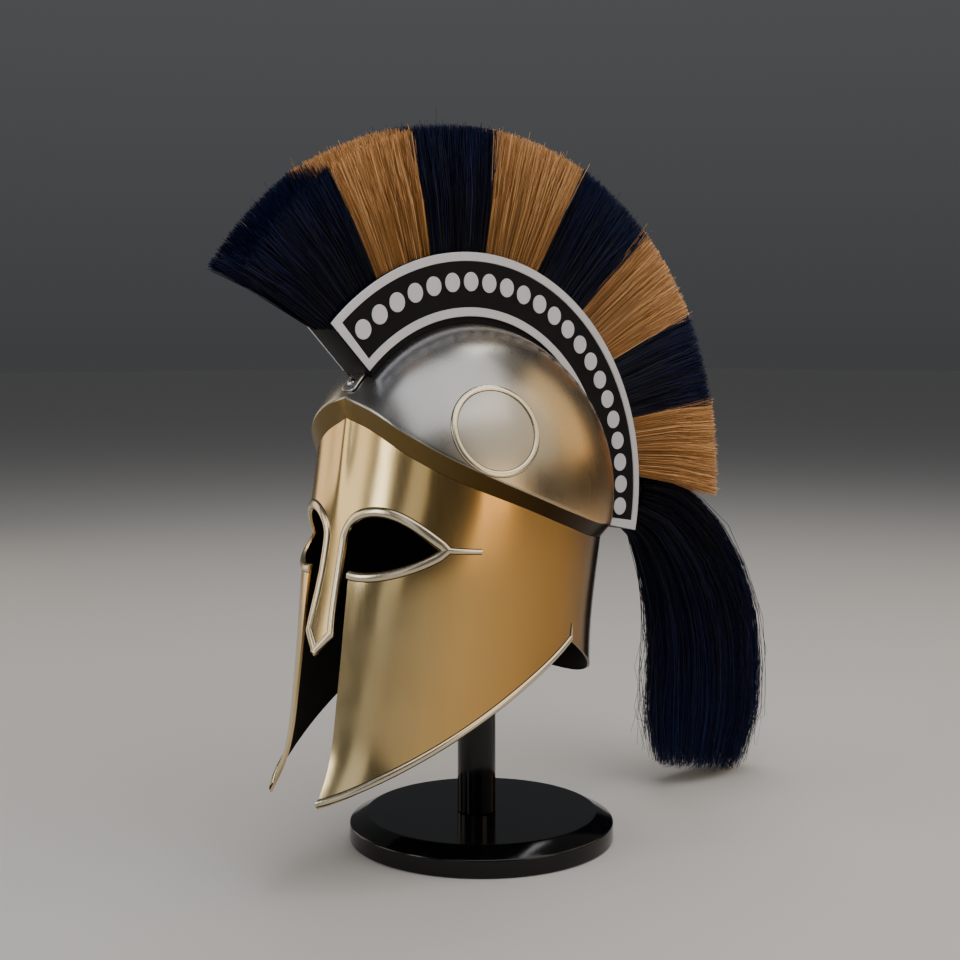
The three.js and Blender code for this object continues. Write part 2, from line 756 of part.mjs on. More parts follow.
// Six-sided lock that widens from the crest box's rim to its blunt tip
function bandLock(number, along) {
  const [from, to] = [borderAngles(number), borderAngles(number + 1)];
  const clipped = THREE.MathUtils.lerp(from.length, to.length, along / locksPerBand);
  const ragged = clipped - lockRagged * ((along + number) % locksPerBand);
  const levels = [
    { angle: 'root', radius: crestRadius, width: crestWidth },
    { angle: 'tip', radius: crestRadius + (plumeLength + plumeCrown) * ragged, width: plumeTipWidth },
  ];
  return sweep(hexagon(1, 1 / Math.sin(Math.PI / 3)), levels.length, (i, p) => {
    const { angle, radius, width } = levels[i];
    const share = (along + 0.5 + p.y * lockOverlap / 2) / locksPerBand;
    return onArc(THREE.MathUtils.lerp(from[angle], to[angle], share), radius, width / 2 * p.x);
  });
}

function plumeBand(number) {
  const locks = [...Array(locksPerBand).keys()].map((along) => bandLock(number, along));
  return cut(joined([plumeRoot(number), common(joined(locks), bandWedge(number))]), crestRim());
}

// Lock of the tail, carried along the tail's hanging course
function tailLock(across) {
  const { root } = borderAngles(plumeBorders.length - 2);
  const rootAngle = (root + crestRearAngle) / 2;
  const start = onArc(rootAngle, crestRadius + tailLift);
  const middle = tailSections.map(({ back, down }) => {
    return new THREE.Vector3(0, start.y + back * tailReach, start.z - down * tailLength);
  });
  return sweep(hexagon(1, 1), tailSections.length, (i, p) => {
    const before = i === 0 ? onArc(rootAngle, channelFloor) : middle[i - 1];
    const after = middle[Math.min(i + 1, middle.length - 1)];
    const course = after.clone().sub(before).normalize();
    const out = new THREE.Vector3(0, -course.z, course.y);
    const { wide, thick } = tailSections[i];
    return middle[i].clone()
      .addScaledVector(out, plumeTipWidth * wide * (across + p.y * lockOverlap / 2) / (locksPerBand / 2))
      .add(new THREE.Vector3(plumeTipWidth * thick * p.x, 0, 0));
  });
}

function plumeTail() {
  const number = plumeBorders.length - 2;
  const locks = cut(joined([-1, 0, 1].map(tailLock)), bandWedge(number - 1, -fitGap / 2));
  return cut(joined([plumeRoot(number), locks]), crestRim());
}

// Turned foot, post and the pad that carries the skull
function standFoot() {
  const edge = 1;
  const profile = [
    [0, 0], [footRadius - edge, 0], [footRadius, edge], [footRadius, footRimHeight],
    [footTopRadius + edge, footThickness - edge / 3], [footTopRadius, footThickness], [0, footThickness],
  ];
  const points = profile.map(([r, h]) => new THREE.Vector2(r, h));
  return new THREE.LatheGeometry(points, 36).rotateX(Math.PI / 2);
}

const padUnderside = skullHeight + skullRise - padDepth;

function standPost() {
  const [low, high] = [footThickness + fitGap, padUnderside - fitGap];
  const post = new THREE.CylinderGeometry(postRadius, postRadius, high - low, 24);
  return post.rotateX(Math.PI / 2).translate(0, -postForward, (low + high) / 2);
}

function standPad() {
  const disc = new THREE.CylinderGeometry(padRadius, padRadius, padDepth, 16);
  disc.rotateX(Math.PI / 2).translate(0, -postForward, padUnderside + padDepth / 2);
  const inside = turned(skullBlockProfile(-sheetWall - fitGap)).translate(0, -skullSetback, skullHeight);
  return common(disc, inside);
}

// Finishes
const finish = (color, metalness, roughness) => ({ color, metalness, roughness });
const finishes = {
  brass: finish(0xb5924f, 1, 0.28),
  paleBrass: finish(0xd9c9a0, 1, 0.3),
  silver: finish(0xb5b5bc, 0.9, 0.35),
  blackEnamel: finish(0x1c1c1f, 0, 0.4),
  navyHair: finish(0x0a1024, 0, 0.7),
  tanHair: finish(0xb07a3f, 0, 0.7),
  glossBlack: finish(0x0a0a0b, 0, 0.15),
};

function piece(name, geometry, look) {
  const mesh = new THREE.Mesh(closedGeometry(geometry), new THREE.MeshStandardMaterial(finishes[look]));
  mesh.name = name;
  return mesh;
}

function bothSides(name, geometry, look) {
  return [piece(`${name}_left`, geometry, look), piece(`${name}_right`, mirrored(geometry), look)];
}

const stand = new THREE.Group();
stand.add(
  piece('stand_base', standFoot(), 'glossBlack'),
  piece('stand_post', standPost(), 'glossBlack'),
  piece('stand_pad', standPad(), 'glossBlack'),
);

const helmet = new THREE.Group();
helmet.position.set(0, -skullSetback, skullHeight);
helmet.add(
  piece('skull', turned(skullProfile), 'brass'),
  piece('face_guard', faceGuard(), 'brass'),
  ...bothSides('eye_trim', eyeTrim(), 'paleBrass'),
  ...bothSides('cheek_trim', cheekTrim(), 'paleBrass'),
  ...bothSides('side_ring', sideRing(), 'paleBrass'),
  piece('crest_box', crestBox(), 'blackEnamel'),
  ...bothSides('crest_plate', crestPlate(), 'silver'),
  piece('front_bracket', frontBracket(), 'silver'),
  piece('front_rivet', frontRivet(), 'silver'),
);
for (let number = 0; number < plumeBorders.length - 2; number++) {
  const look = number % 2 === 0 ? 'navyHair' : 'tanHair';
  helmet.add(piece(`plume_band_${number + 1}`, plumeBand(number), look));
}
helmet.add(piece('plume_tail', plumeTail(), 'navyHair'));

const model = new THREE.Group();
model.add(stand, helmet);

export default model;
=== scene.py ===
"""Crested helmet of the Corinthian kind on a round display stand, in its finished looks.

Lengths are in metres in the part's own frame: +Z up, the helmet looks along -Y, +X is its left.
"""
import math

import bpy
import numpy as np
from bpy.props import FloatProperty, FloatVectorProperty, IntProperty, PointerProperty
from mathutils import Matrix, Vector
from mathutils.geometry import delaunay_2d_cdt


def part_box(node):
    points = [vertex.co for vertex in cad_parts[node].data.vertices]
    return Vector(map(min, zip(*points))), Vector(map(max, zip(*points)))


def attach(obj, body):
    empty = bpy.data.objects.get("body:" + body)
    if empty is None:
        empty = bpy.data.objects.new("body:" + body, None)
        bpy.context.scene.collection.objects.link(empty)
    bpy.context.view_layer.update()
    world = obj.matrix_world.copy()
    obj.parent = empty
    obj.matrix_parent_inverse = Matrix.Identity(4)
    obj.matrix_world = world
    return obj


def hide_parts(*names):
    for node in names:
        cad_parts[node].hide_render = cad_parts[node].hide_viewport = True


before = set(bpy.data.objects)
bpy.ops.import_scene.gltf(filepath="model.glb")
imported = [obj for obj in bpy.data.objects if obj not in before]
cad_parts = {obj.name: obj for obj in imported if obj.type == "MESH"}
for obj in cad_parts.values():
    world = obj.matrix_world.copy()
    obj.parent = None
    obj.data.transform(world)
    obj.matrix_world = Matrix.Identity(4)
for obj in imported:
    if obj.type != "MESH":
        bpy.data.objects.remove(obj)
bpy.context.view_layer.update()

bl_info = {
    "name": "Crested Helmet",
    "version": (1, 0, 0),
    "blender": (4, 5, 0),
    "location": "View3D > Sidebar > Helmet",
    "description": "Builds a crested helmet with its plume and stand round the packed part",
    "category": "Object",
}

MM = 0.001

# Skull, half an ellipsoid round the helmet's own centre
CENTRE = np.array([0.0, -22.4, 260.0]) * MM
HALF_WIDTH = 99.5 * MM
HALF_LENGTH = 128.5 * MM
RISE = 128.5 * MM
GAP = 0.3 * MM

# Band, the slanting step between the skull and the face
BAND_FRONT = 76.0 * MM
BAND_REAR = -23.0 * MM
BAND_HEIGHT = 14.4 * MM
BAND_ROUND = 1.4 * MM

# Face guard
CHEEK_DROP = 199.3 * MM
CHEEK_SAG = 4.0 * MM
CHEEK_BOW = -5.0 * MM
SLIT_TOP = 22.8 * MM
SLIT_TIP = 27.9 * MM
NOTCH = np.array([37.8, -100.7]) * MM
NAPE_DROP = 143.0 * MM
FRONT_FULLNESS = 2.25
REAR_FULLNESS = 2.0
CREASE_WIDTH = 9.0 * MM
NOSE_WIDTH = 20.0 * MM
NASAL_HALF = 12.0 * MM
NASAL_WAIST_HALF = 11.5 * MM
NASAL_WAIST_DROP = 44.0 * MM
NASAL_TIP_HALF = 15.7 * MM
NASAL_SHOULDER = 86.8 * MM
NASAL_DROP = 101.6 * MM
EYE_SPAN = 60.2 * MM
EYE_TOP = 4.2 * MM
EYE_HEIGHT = 37.2 * MM
EYE_TAIL = np.array([9.9, -1.7]) * MM
SPIKE = 11.0 * MM
SPIKE_HALF = 1.2 * MM
SPIKE_POINT = 0.2 * MM
LAP_HEIGHT = 6.0 * MM
PATINA = 0.55 * MM
PATINA_HEIGHT = 0.25 * MM

# Side ring
RING_RADIUS = 31.0 * MM
RING_WIRE = 2.2 * MM
RING_TURN = math.radians(71)
RING_RISE = 54.5 * MM

# Crest, bent round the helmet's own centre
CREST_FRONT = 45.0
CREST_REAR = 192.0
CREST_RADIUS = 178.4 * MM
PANEL_RADIUS = 132.3 * MM
CHANNEL_HALF = 13.6 * MM
CHANNEL_WALL = 1.3 * MM
CHANNEL_FLOOR = 131.9 * MM
END_WALL = 2.0 * MM
PLATE_THICKNESS = 1.0 * MM
RELIEF = 0.6 * MM
BORDER = 6.5 * MM
DOT_RADIUS = 6.9 * MM
DOTS = 22
DOT_ARC = 157.2 * MM
DOT_INSET = 16.5 * MM
BRACKET_HALF = 7.0 * MM
BRACKET_ROUND = 3.5 * MM
BRACKET_REACH = 15.5 * MM
BRACKET_WALL = 1.5 * MM
RIVET_PLACE = 0.55
RIVET_RADIUS = 3.2 * MM
RIVET_HEIGHT = 1.8 * MM

# Plume
PLUME_LENGTH = 86.0 * MM
PLUME_CROWN = 4.0 * MM
PLUME_HALF = 24.0 * MM
ROOT_HALF = 11.4 * MM
HAIR_IN_BOX = 6.0 * MM
TAIL_LIFT = 6.02 * MM
TAIL_WIDTH = 56.016 * MM
TAIL_DEPTH = 48.0 * MM
LOWEST_HAIR = (1.5 * MM, 4.0 * MM)
CORE_TONE = 0.05
BAND_SEED = 100
HAIR_SEED = 200
TAIL_SEED = 300

# Stand
FOOT_RIM = 13.0 * MM
FOOT_TOP = 0.865
FOOT_INSET = 4.0 * MM
POST_RADIUS = 14.392 * MM
TAIL_LENGTH = 231.0 * MM
TAIL_REACH = 96.0 * MM

FACE_SECTIONS = [dict(zip(("at", "width", "front", "rear"), row)) for row in (
    (-0.40, 0.915, 0.752, 0.930),
    (-0.30, 0.930, 0.775, 0.935),
    (-0.05, 0.940, 0.840, 0.935),
    (0.10, 0.930, 0.894, 0.918),
    (0.22, 0.915, 0.941, 0.890),
    (0.38, 0.885, 0.980, 0.858),
    (0.51, 0.865, 1.007, 0.842),
    (0.64, 0.850, 1.037, 0.845),
    (0.80, 0.835, 1.079, 0.880),
    (0.90, 0.820, 1.131, 0.880),
    (1.01, 0.800, 1.236, 0.880),
)]

# Middle of the face: the forehead's crease, and how far the nasal bar lies back, in millimetres
NOSE_COURSE = [dict(zip(("at", "crease", "back"), row)) for row in (
    (-0.40, 3.0, 0.0),
    (-0.20, 2.6, 0.0),
    (0.00, 0.8, 0.0),
    (0.10, 0.0, 1.8),
    (0.21, 0.0, 3.2),
    (0.28, 0.0, 2.5),
    (0.35, 0.0, 1.1),
    (0.43, 0.0, -0.3),
    (0.51, 0.0, -2.8),
)]

BAND_COURSE = [dict(zip(("at", "rise", "depth"), row)) for row in (
    (0, 1.000, 1.00),
    (20, 0.910, 1.08),
    (40, 0.735, 1.06),
    (60, 0.537, 0.93),
    (80, 0.350, 0.76),
    (100, 0.180, 0.68),
    (120, 0.062, 0.68),
    (150, 0.008, 0.70),
    (180, 0.000, 0.70),
)]

# Borders between the plume's bands, as shares of the crest's arc at the rim and at the tips, and
# the hair's length as a share of the plume's
PLUME_BORDERS = [dict(zip(("root", "tip", "length"), row)) for row in (
    (0.000, -0.034, 0.89),
    (0.114, 0.101, 0.98),
    (0.226, 0.210, 1),
    (0.341, 0.331, 1),
    (0.455, 0.463, 1),
    (0.575, 0.588, 1),
    (0.687, 0.708, 1),
    (0.799, 0.823, 1),
    (0.901, 0.936, 1),
    (1.000, 1.040, 1),
)]

# The tail's middle line as shares of its reach and length, and its half sizes
TAIL_SECTIONS = [dict(zip(("at", "back", "down", "wide", "thick"), row)) for row in (
    (0.00, 0.000, 0.000, 0.42, 0.28),
    (0.14, 0.314, 0.055, 0.62, 0.40),
    (0.35, 0.696, 0.236, 0.88, 0.52),
    (0.54, 0.938, 0.459, 1.06, 0.57),
    (0.75, 1.000, 0.690, 1.10, 0.58),
    (0.91, 0.966, 0.877, 1.06, 0.56),
    (1.00, 0.910, 1.000, 0.86, 0.44),
    (1.08, 0.880, 1.070, 0.62, 0.30),
)]


# Reading the shape

def read_table(table, column, at):
    """Smooth value of one column of a table, at places between its rows."""
    knots = np.array([row["at"] for row in table], float)
    values = np.array([row[column] for row in table], float)
    order = np.arange(len(knots))
    before = np.maximum(order - 1, 0)
    after = np.minimum(order + 1, len(knots) - 1)
    slopes = (values[after] - values[before]) / (knots[after] - knots[before])
    at = np.asarray(at, float)
    k = np.clip(np.searchsorted(knots, at, side="right"), 1, len(knots) - 1)
    span = knots[k] - knots[k - 1]
    t = np.clip((at - knots[k - 1]) / span, 0, 1)
    s = t * t * (3 - 2 * t)
    ease = slopes[k - 1] * span * t * (1 - t) ** 2 - slopes[k] * span * t * t * (1 - t)
    return values[k - 1] * (1 - s) + values[k] * s + ease


def stacked(x, y, z):
    return np.stack(np.broadcast_arrays(x, y, z), axis=-1)


def band_top(turn):
    """Height of the band's upper edge at a turn from the front."""
    at = np.degrees(np.abs(np.arctan2(np.sin(turn), np.cos(turn))))
    return BAND_REAR + (BAND_FRONT - BAND_REAR) * read_table(BAND_COURSE, "rise", at)


def band_bottom(turn):
    at = np.degrees(np.abs(np.arctan2(np.sin(turn), np.cos(turn))))
    return band_top(turn) - BAND_HEIGHT * read_table(BAND_COURSE, "depth", at)


def skull_point(turn, share):
    """Point of the skull, a share of the way from its top to the band."""
    up = math.pi / 2 + share * (np.arcsin(band_top(turn) / RISE) - math.pi / 2)
    return stacked(
        HALF_WIDTH * np.cos(up) * np.sin(turn),
        -HALF_LENGTH * np.cos(up) * np.cos(turn),
        RISE * np.sin(up))


def face_reach(height, column):
    size = HALF_WIDTH if column == "width" else HALF_LENGTH
    return size * read_table(FACE_SECTIONS, column, -height / CHEEK_DROP)


def nose_at(x, height):
    """How far the middle of the face stands proud of its round section."""
    at = -height / CHEEK_DROP
    crease = read_table(NOSE_COURSE, "crease", at) * np.exp(-((x / CREASE_WIDTH) ** 2))
    t = np.clip(np.abs(x) * 2 / NOSE_WIDTH - 1, 0, 1)
    return (crease - read_table(NOSE_COURSE, "back", at) * (1 - t * t * (3 - 2 * t))) * MM


def face_point(turn, height, depth=0.0):
    """Point of the face guard's outer surface at a turn and a height, or that deep under it."""
    front = np.cos(turn) > 0
    fullness = np.where(front, FRONT_FULLNESS, REAR_FULLNESS)
    side = face_reach(height, "width") - depth
    reach = np.where(front, face_reach(height, "front"), face_reach(height, "rear")) - depth
    across = HALF_WIDTH * np.sin(turn)
    along = -HALF_LENGTH * np.cos(turn)
    size = np.abs(across / side) ** fullness + np.abs(along / reach) ** fullness
    scale = size ** (-1 / fullness)
    nose = np.where(front, nose_at(scale * across, height), 0)
    return stacked(scale * across, scale * along - nose, height)


def face_from_front(x, height):
    side = face_reach(height, "width")
    inner = np.maximum(1 - np.abs(x / side) ** FRONT_FULLNESS, 0)
    y = -face_reach(height, "front") * inner ** (1 / FRONT_FULLNESS) - nose_at(x, height)
    return stacked(x, y, height)


def face_from_side(y, height):
    front = y < 0
    fullness = np.where(front, FRONT_FULLNESS, REAR_FULLNESS)
    reach = np.where(front, face_reach(height, "front"), face_reach(height, "rear"))
    inner = np.maximum(1 - np.abs(y / reach) ** fullness, 0)
    return stacked(face_reach(height, "width") * inner ** (1 / fullness), y, height)


def turn_of(point):
    return np.arctan2(point[..., 0] / HALF_WIDTH, -point[..., 1] / HALF_LENGTH)


def unit(vectors):
    return vectors / np.maximum(np.linalg.norm(vectors, axis=-1, keepdims=True), 1e-12)


def face_normal(point):
    turn, height, step = turn_of(point), point[..., 2], 0.004
    round_it = face_point(turn + step, height) - face_point(turn - step, height)
    down = face_point(turn, height - MM) - face_point(turn, height + MM)
    return unit(np.cross(down, round_it))


def skull_normal(point):
    return unit(point / np.array([HALF_WIDTH, HALF_LENGTH, RISE]) ** 2)


def bezier(corners, count):
    """Points of a cubic or quadratic curve, both ends included."""
    t = np.linspace(0, 1, count + 1)[:, None]
    points = [np.asarray(corner, float) * np.ones_like(t) for corner in corners]
    while len(points) > 1:
        points = [a * (1 - t) + b * t for a, b in zip(points, points[1:])]
    return points[0]


def straight(a, b, count):
    return bezier([a, b], count)


def joined_lines(*lines):
    return np.concatenate([lines[0]] + [line[1:] for line in lines[1:]])


def opening_lines():
    """Left half of the face's opening in the front view, as lines of (x, height)."""
    def at(x, z):
        return np.array([NASAL_HALF + x * EYE_SPAN, -EYE_TOP - z * EYE_HEIGHT])
    lid_end = np.array([SLIT_TOP, -EYE_TOP - EYE_HEIGHT])
    cheek_tip = np.array([SLIT_TIP, -CHEEK_DROP])
    down = cheek_tip - lid_end
    shoulder = np.array([NASAL_TIP_HALF, -NASAL_SHOULDER])
    waist = np.array([NASAL_WAIST_HALF, -NASAL_WAIST_DROP])
    neck = (shoulder + waist * 2) / 3 - (0, NASAL_WAIST_DROP / 4)
    return {
        "nasal": joined_lines(
            straight((0, -NASAL_DROP), shoulder, 8),
            bezier([shoulder, neck, waist, at(0, 0.52)], 24)),
        "brow": joined_lines(
            bezier([at(0, 0.52), at(0, 0.18), at(0.19, 0), at(0.413, 0)], 20),
            bezier([at(0.413, 0), at(0.68, 0), at(0.86, 0.295), at(1, 0.595)], 22)),
        "lid": bezier([at(1, 0.595), at(0.88, 0.85), at(0.55, 1.1), lid_end], 30),
        "cheek": bezier(
            [lid_end, lid_end + down * 0.38, lid_end + down * 0.78 + (CHEEK_BOW, 0), cheek_tip], 60),
    }


def lower_lines():
    """Lower edge in the side view, as lines of (y, height): along the cheek, then the nape."""
    tip = face_from_front(SLIT_TIP, -CHEEK_DROP)
    start = np.array([tip[1], -CHEEK_DROP])
    middle = (start + NOTCH) / 2 - (0, CHEEK_SAG)
    nape = np.array([face_reach(-NAPE_DROP, "rear"), -NAPE_DROP])
    return {"cheek": bezier([start, middle, NOTCH], 80), "nape": straight(NOTCH, nape, 60)}


def on_arc(degrees, radius, x=0.0):
    """Place in the crest: degrees up from the front, radius, and distance to the left."""
    angle = np.radians(degrees)
    return stacked(x, -radius * np.cos(angle), radius * np.sin(angle))


# Working with Blender's tools

def deselect():
    if bpy.context.object and bpy.context.object.mode != "OBJECT":
        bpy.ops.object.mode_set(mode="OBJECT")
    bpy.ops.object.select_all(action="DESELECT")


def activate(*pieces):
    deselect()
    for piece in pieces:
        piece.select_set(True)
    bpy.context.view_layer.objects.active = pieces[0]


def edit(piece, *steps):
    """Runs edit-mode steps on the whole of a piece."""
    activate(piece)
    bpy.ops.object.mode_set(mode="EDIT")
    bpy.ops.mesh.select_all(action="SELECT")
    for step in steps:
        step()
    bpy.ops.object.mode_set(mode="OBJECT")


def weld():
    bpy.ops.mesh.remove_doubles(threshold=0.01 * MM)


def face_out():
    bpy.ops.mesh.normals_make_consistent(inside=False)


def apply_modifier(piece, kind, **settings):
    activate(piece)
    modifier = piece.modifiers.new(kind.title(), kind)
    for name, value in settings.items():
        setattr(modifier, name, value)
    bpy.ops.object.modifier_apply(modifier=modifier.name)


def settled():
    """The primitive just added, with its place, turn and size applied."""
    bpy.ops.object.transform_apply(location=True, rotation=True, scale=True)
    return bpy.context.object


def corners_of(piece):
    flat = np.empty(len(piece.data.vertices) * 3)
    piece.data.vertices.foreach_get("co", flat)
    return flat.reshape(-1, 3)


def lay_corners(piece, points):
    piece.data.vertices.foreach_set("co", points.ravel())


def lay_grid(name, points):
    """A grid primitive whose vertices are laid on a table of points, closed where they meet."""
    columns, rows = points.shape[0] - 1, points.shape[1] - 1
    deselect()
    bpy.ops.mesh.primitive_grid_add(x_subdivisions=columns, y_subdivisions=rows, size=2)
    piece = bpy.context.object
    piece.name = piece.data.name = name
    share = (corners_of(piece)[:, :2] + 1) / 2
    i, j = np.rint(share * (columns, rows)).astype(int).T
    lay_corners(piece, points[i, j])
    edit(piece, weld, face_out)
    return piece


def lay_mesh(name, points, faces):
    """A piece from points and faces worked out in code, for forms that no primitive gives."""
    mesh = bpy.data.meshes.new(name)
    mesh.from_pydata([tuple(p) for p in points], [], [tuple(face) for face in faces])
    piece = bpy.data.objects.new(name, mesh)
    bpy.context.scene.collection.objects.link(piece)
    return piece


def lay_bead(name, line, normals, half_width, height, closed=False, square=0.85):
    """A flat-topped bead with rounded edges, carried along a line on a surface."""
    line, normals = np.asarray(line), np.asarray(normals)
    half_width = np.broadcast_to(half_width, len(line))[:, None]
    height = np.broadcast_to(height, len(line))[:, None]
    if closed:
        before, after = np.roll(line, 1, axis=0), np.roll(line, -1, axis=0)
    else:
        before = np.concatenate([line[:1], line[:-1]])
        after = np.concatenate([line[1:], line[-1:]])
    side = unit(np.cross(unit(after - before), normals))
    legs = unit(np.where((line == before), after - line, line - before))
    miter = 1 / np.clip(np.einsum("ij,ij->i", unit(np.cross(legs, normals)), side), 0.5, 1)
    angles = np.linspace(0, 2 * math.pi, 17)
    across = np.sign(np.cos(angles)) * np.abs(np.cos(angles)) ** square * half_width
    up = np.maximum(np.sin(angles), 0) ** square * height + 0.05 * MM
    points = (line[:, None]
              + side[:, None] * (across * miter[:, None])[..., None]
              + normals[:, None] * up[..., None])
    if closed:
        points = np.concatenate([points, points[:1]])
    else:
        ends = [np.repeat(points[k].mean(axis=0)[None, None], len(angles), axis=1) for k in (0, -1)]
        points = np.concatenate([ends[0], points, ends[1]])
    return lay_grid(name, points)


def with_patina(name, line, normals, half_width, height, patina=PATINA, **shape):
    """A soldered bead over a thin dark skirt, the patina left in the joint along both its feet."""
    bead = lay_bead(name, line, normals, half_width, height, **shape)
    bead.data.materials.append(MATERIALS["pale"])
    skirt = lay_bead("skirt", line, normals, half_width + patina, PATINA_HEIGHT, **shape)
    skirt.data.materials.append(MATERIALS["patina"])
    return weave_in(bead, skirt)


def weave_in(piece, *others):
    """Joins other objects into a piece."""
    activate(piece, *others)
    bpy.ops.object.join()
    return piece


def mirror_copy(piece, name):
    """The same piece on the helmet's right, with its own mesh."""
    copy = piece.copy()
    copy.data = piece.data.copy()
    copy.name = copy.data.name = name
    bpy.context.scene.collection.objects.link(copy)
    lay_corners(copy, corners_of(copy) * (-1, 1, 1))
    edit(copy, bpy.ops.mesh.flip_normals)
    return copy


def coated(piece, look):
    """Gives the whole of a piece one finish."""
    piece.data.materials.clear()
    piece.data.materials.append(MATERIALS[look])
    return piece


def finish_piece(piece, replaced=(), angle=35, shift=True):
    """Places a piece in the part's frame, smooths it, and gives it its body."""
    if shift:
        lay_corners(piece, corners_of(piece) + CENTRE)
    piece.data.update()
    activate(piece)
    bpy.ops.object.transform_apply(location=True, rotation=True, scale=True)
    bpy.ops.object.shade_smooth_by_angle(angle=math.radians(angle))
    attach(piece, "root")
    if replaced:
        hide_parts(*replaced)


# Finishes

def hex_colour(text):
    """Linear colour of an sRGB hex value."""
    values = [int(text[i:i + 2], 16) / 255 for i in (1, 3, 5)]
    linear = [v / 12.92 if v <= 0.04045 else ((v + 0.055) / 1.055) ** 2.4 for v in values]
    return (*linear, 1.0)


def add(tree, kind, links=(), stops=(), **settings):
    """Adds a node with its settings; links are (socket, input) and stops a ramp's (place, colour)."""
    node = tree.nodes.new(kind)
    for name, value in settings.items():
        if name in node.inputs:
            node.inputs[name].default_value = value
        else:
            setattr(node, name, value)
    for source, name in links:
        tree.links.new(source, node.inputs[name])
    if stops:
        elements = node.color_ramp.elements
        while len(elements) < len(stops):
            elements.new(0.5)
        for element, (place, colour) in zip(elements, stops):
            element.position, element.color = place, colour
    return node


def new_material(name):
    material = bpy.data.materials.new(name)
    material.use_nodes = True
    tree = material.node_tree
    return material, tree, tree.nodes["Principled BSDF"]


def spaced(*sizes):
    """Scale of a pattern that repeats at these sizes in millimetres."""
    scales = tuple(1 / (size * MM) for size in sizes)
    return scales if len(scales) > 1 else scales[0]


def drift_and_painted_light(tree, place, stops, course=None):
    """Colour that drifts from patch to patch, and along a course through the piece where it has one:
    there it is painted light and shade, lighter at one end and darker at the other.
    """
    # Plating varies over a hand's breadth
    drift = add(tree, "ShaderNodeTexNoise", [(place.outputs["Object"], "Vector")],
                Scale=spaced(110), Detail=3.0)
    if course is None:
        return add(tree, "ShaderNodeValToRGB", [(drift.outputs["Fac"], "Fac")], stops)
    # The course paints light and shade into the colour
    direction, start, end = course
    along = add(tree, "ShaderNodeVectorMath", [(place.outputs["Object"], 0)], operation="DOT_PRODUCT")
    along.inputs[1].default_value = direction
    share = add(tree, "ShaderNodeMapRange", [(along.outputs["Value"], "Value")],
                **{"From Min": start, "From Max": end, "To Min": -0.15, "To Max": 0.85})
    mixed = add(tree, "ShaderNodeMath", [(drift.outputs["Fac"], 0), (share.outputs["Result"], 2)],
                operation="MULTIPLY_ADD")
    mixed.inputs[1].default_value = 0.3
    return add(tree, "ShaderNodeValToRGB", [(mixed.outputs["Value"], "Fac")], stops)


def polished_metal(name, stops, roughness, brushed=0.0, course=None, lines=(2.4, 2.4, 70),
                   wave=0.0):
    """Plated sheet, buffed by hand: soft long reflections that waver, in a colour that drifts, with
    painted light and shade along a course where one is given.
    """
    material, tree, shader = new_material(name)
    place = add(tree, "ShaderNodeTexCoord")
    colour = drift_and_painted_light(tree, place, stops, course)
    tree.links.new(colour.outputs["Color"], shader.inputs["Base Color"])
    # Real buffing lines are about 0.1 mm apart, too fine to show, so they are drawn millimetres apart
    drawn = add(tree, "ShaderNodeMapping", [(place.outputs["Object"], "Vector")],
                Scale=spaced(*lines))
    grain = add(tree, "ShaderNodeTexNoise", [(drawn.outputs["Vector"], "Vector")],
                Scale=1.0, Detail=4.0 if brushed else 1.0)
    rough = add(tree, "ShaderNodeMapRange", [(grain.outputs["Fac"], "Value")],
                **{"To Min": roughness * 0.85, "To Max": roughness * 1.2})
    tree.links.new(rough.outputs["Result"], shader.inputs["Roughness"])
    normal = None
    if wave:
        # Shallow waves of the rolled sheet, 30 mm across and 110 mm long, break up the reflections
        sheet = add(tree, "ShaderNodeMapping", [(place.outputs["Object"], "Vector")],
                    Scale=spaced(30, 30, 110))
        swell = add(tree, "ShaderNodeTexNoise", [(sheet.outputs["Vector"], "Vector")],
                    Scale=1.0, Detail=1.0)
        normal = add(tree, "ShaderNodeBump", [(swell.outputs["Fac"], "Height")],
                     Strength=1.0, Distance=wave)
    if brushed:
        before = [(normal.outputs["Normal"], "Normal")] if normal else []
        normal = add(tree, "ShaderNodeBump", [(grain.outputs["Fac"], "Height"), *before],
                     Strength=brushed, Distance=0.05 * MM)
    if normal:
        tree.links.new(normal.outputs["Normal"], shader.inputs["Normal"])
    shader.inputs["Metallic"].default_value = 1.0
    return material


def sprayed(name, low, high, roughness, gloss):
    """Sprayed enamel, lacquer or patina: even colour with a faint orange-peel in the gloss."""
    material, tree, shader = new_material(name)
    place = add(tree, "ShaderNodeTexCoord")
    # Thickness of the coat varies over a finger's breadth
    mottle = add(tree, "ShaderNodeTexNoise", [(place.outputs["Object"], "Vector")],
                 Scale=spaced(17), Detail=3.0)
    colour = add(tree, "ShaderNodeValToRGB", [(mottle.outputs["Fac"], "Fac")],
                 ((0.3, low), (0.7, high)))
    tree.links.new(colour.outputs["Color"], shader.inputs["Base Color"])
    # Orange-peel is about 1 mm wide, and is drawn at 3 mm so that it shows
    skin = add(tree, "ShaderNodeTexNoise", [(place.outputs["Object"], "Vector")], Scale=spaced(3))
    bump = add(tree, "ShaderNodeBump", [(skin.outputs["Fac"], "Height")],
               Strength=0.08, Distance=0.1 * MM)
    tree.links.new(bump.outputs["Normal"], shader.inputs["Normal"])
    shader.inputs["Roughness"].default_value = roughness
    shader.inputs["Specular IOR Level"].default_value = gloss
    return material


def horsehair(name, dark, middle, light, gloss):
    """Dyed horsehair: each strand has its own tone, darker at the root as painted shade and lighter at
    the tip as painted highlight, and a soft shine along it.
    """
    material, tree, shader = new_material(name)
    tone = add(tree, "ShaderNodeAttribute", attribute_name="tone")
    colour = add(tree, "ShaderNodeValToRGB", [(tone.outputs["Fac"], "Fac")],
                 ((0.0, dark), (0.5, middle), (1.0, light)))
    tree.links.new(colour.outputs["Color"], shader.inputs["Base Color"])
    shader.inputs["Roughness"].default_value = 0.45
    shader.inputs["Specular IOR Level"].default_value = gloss
    return material


MATERIALS = {}


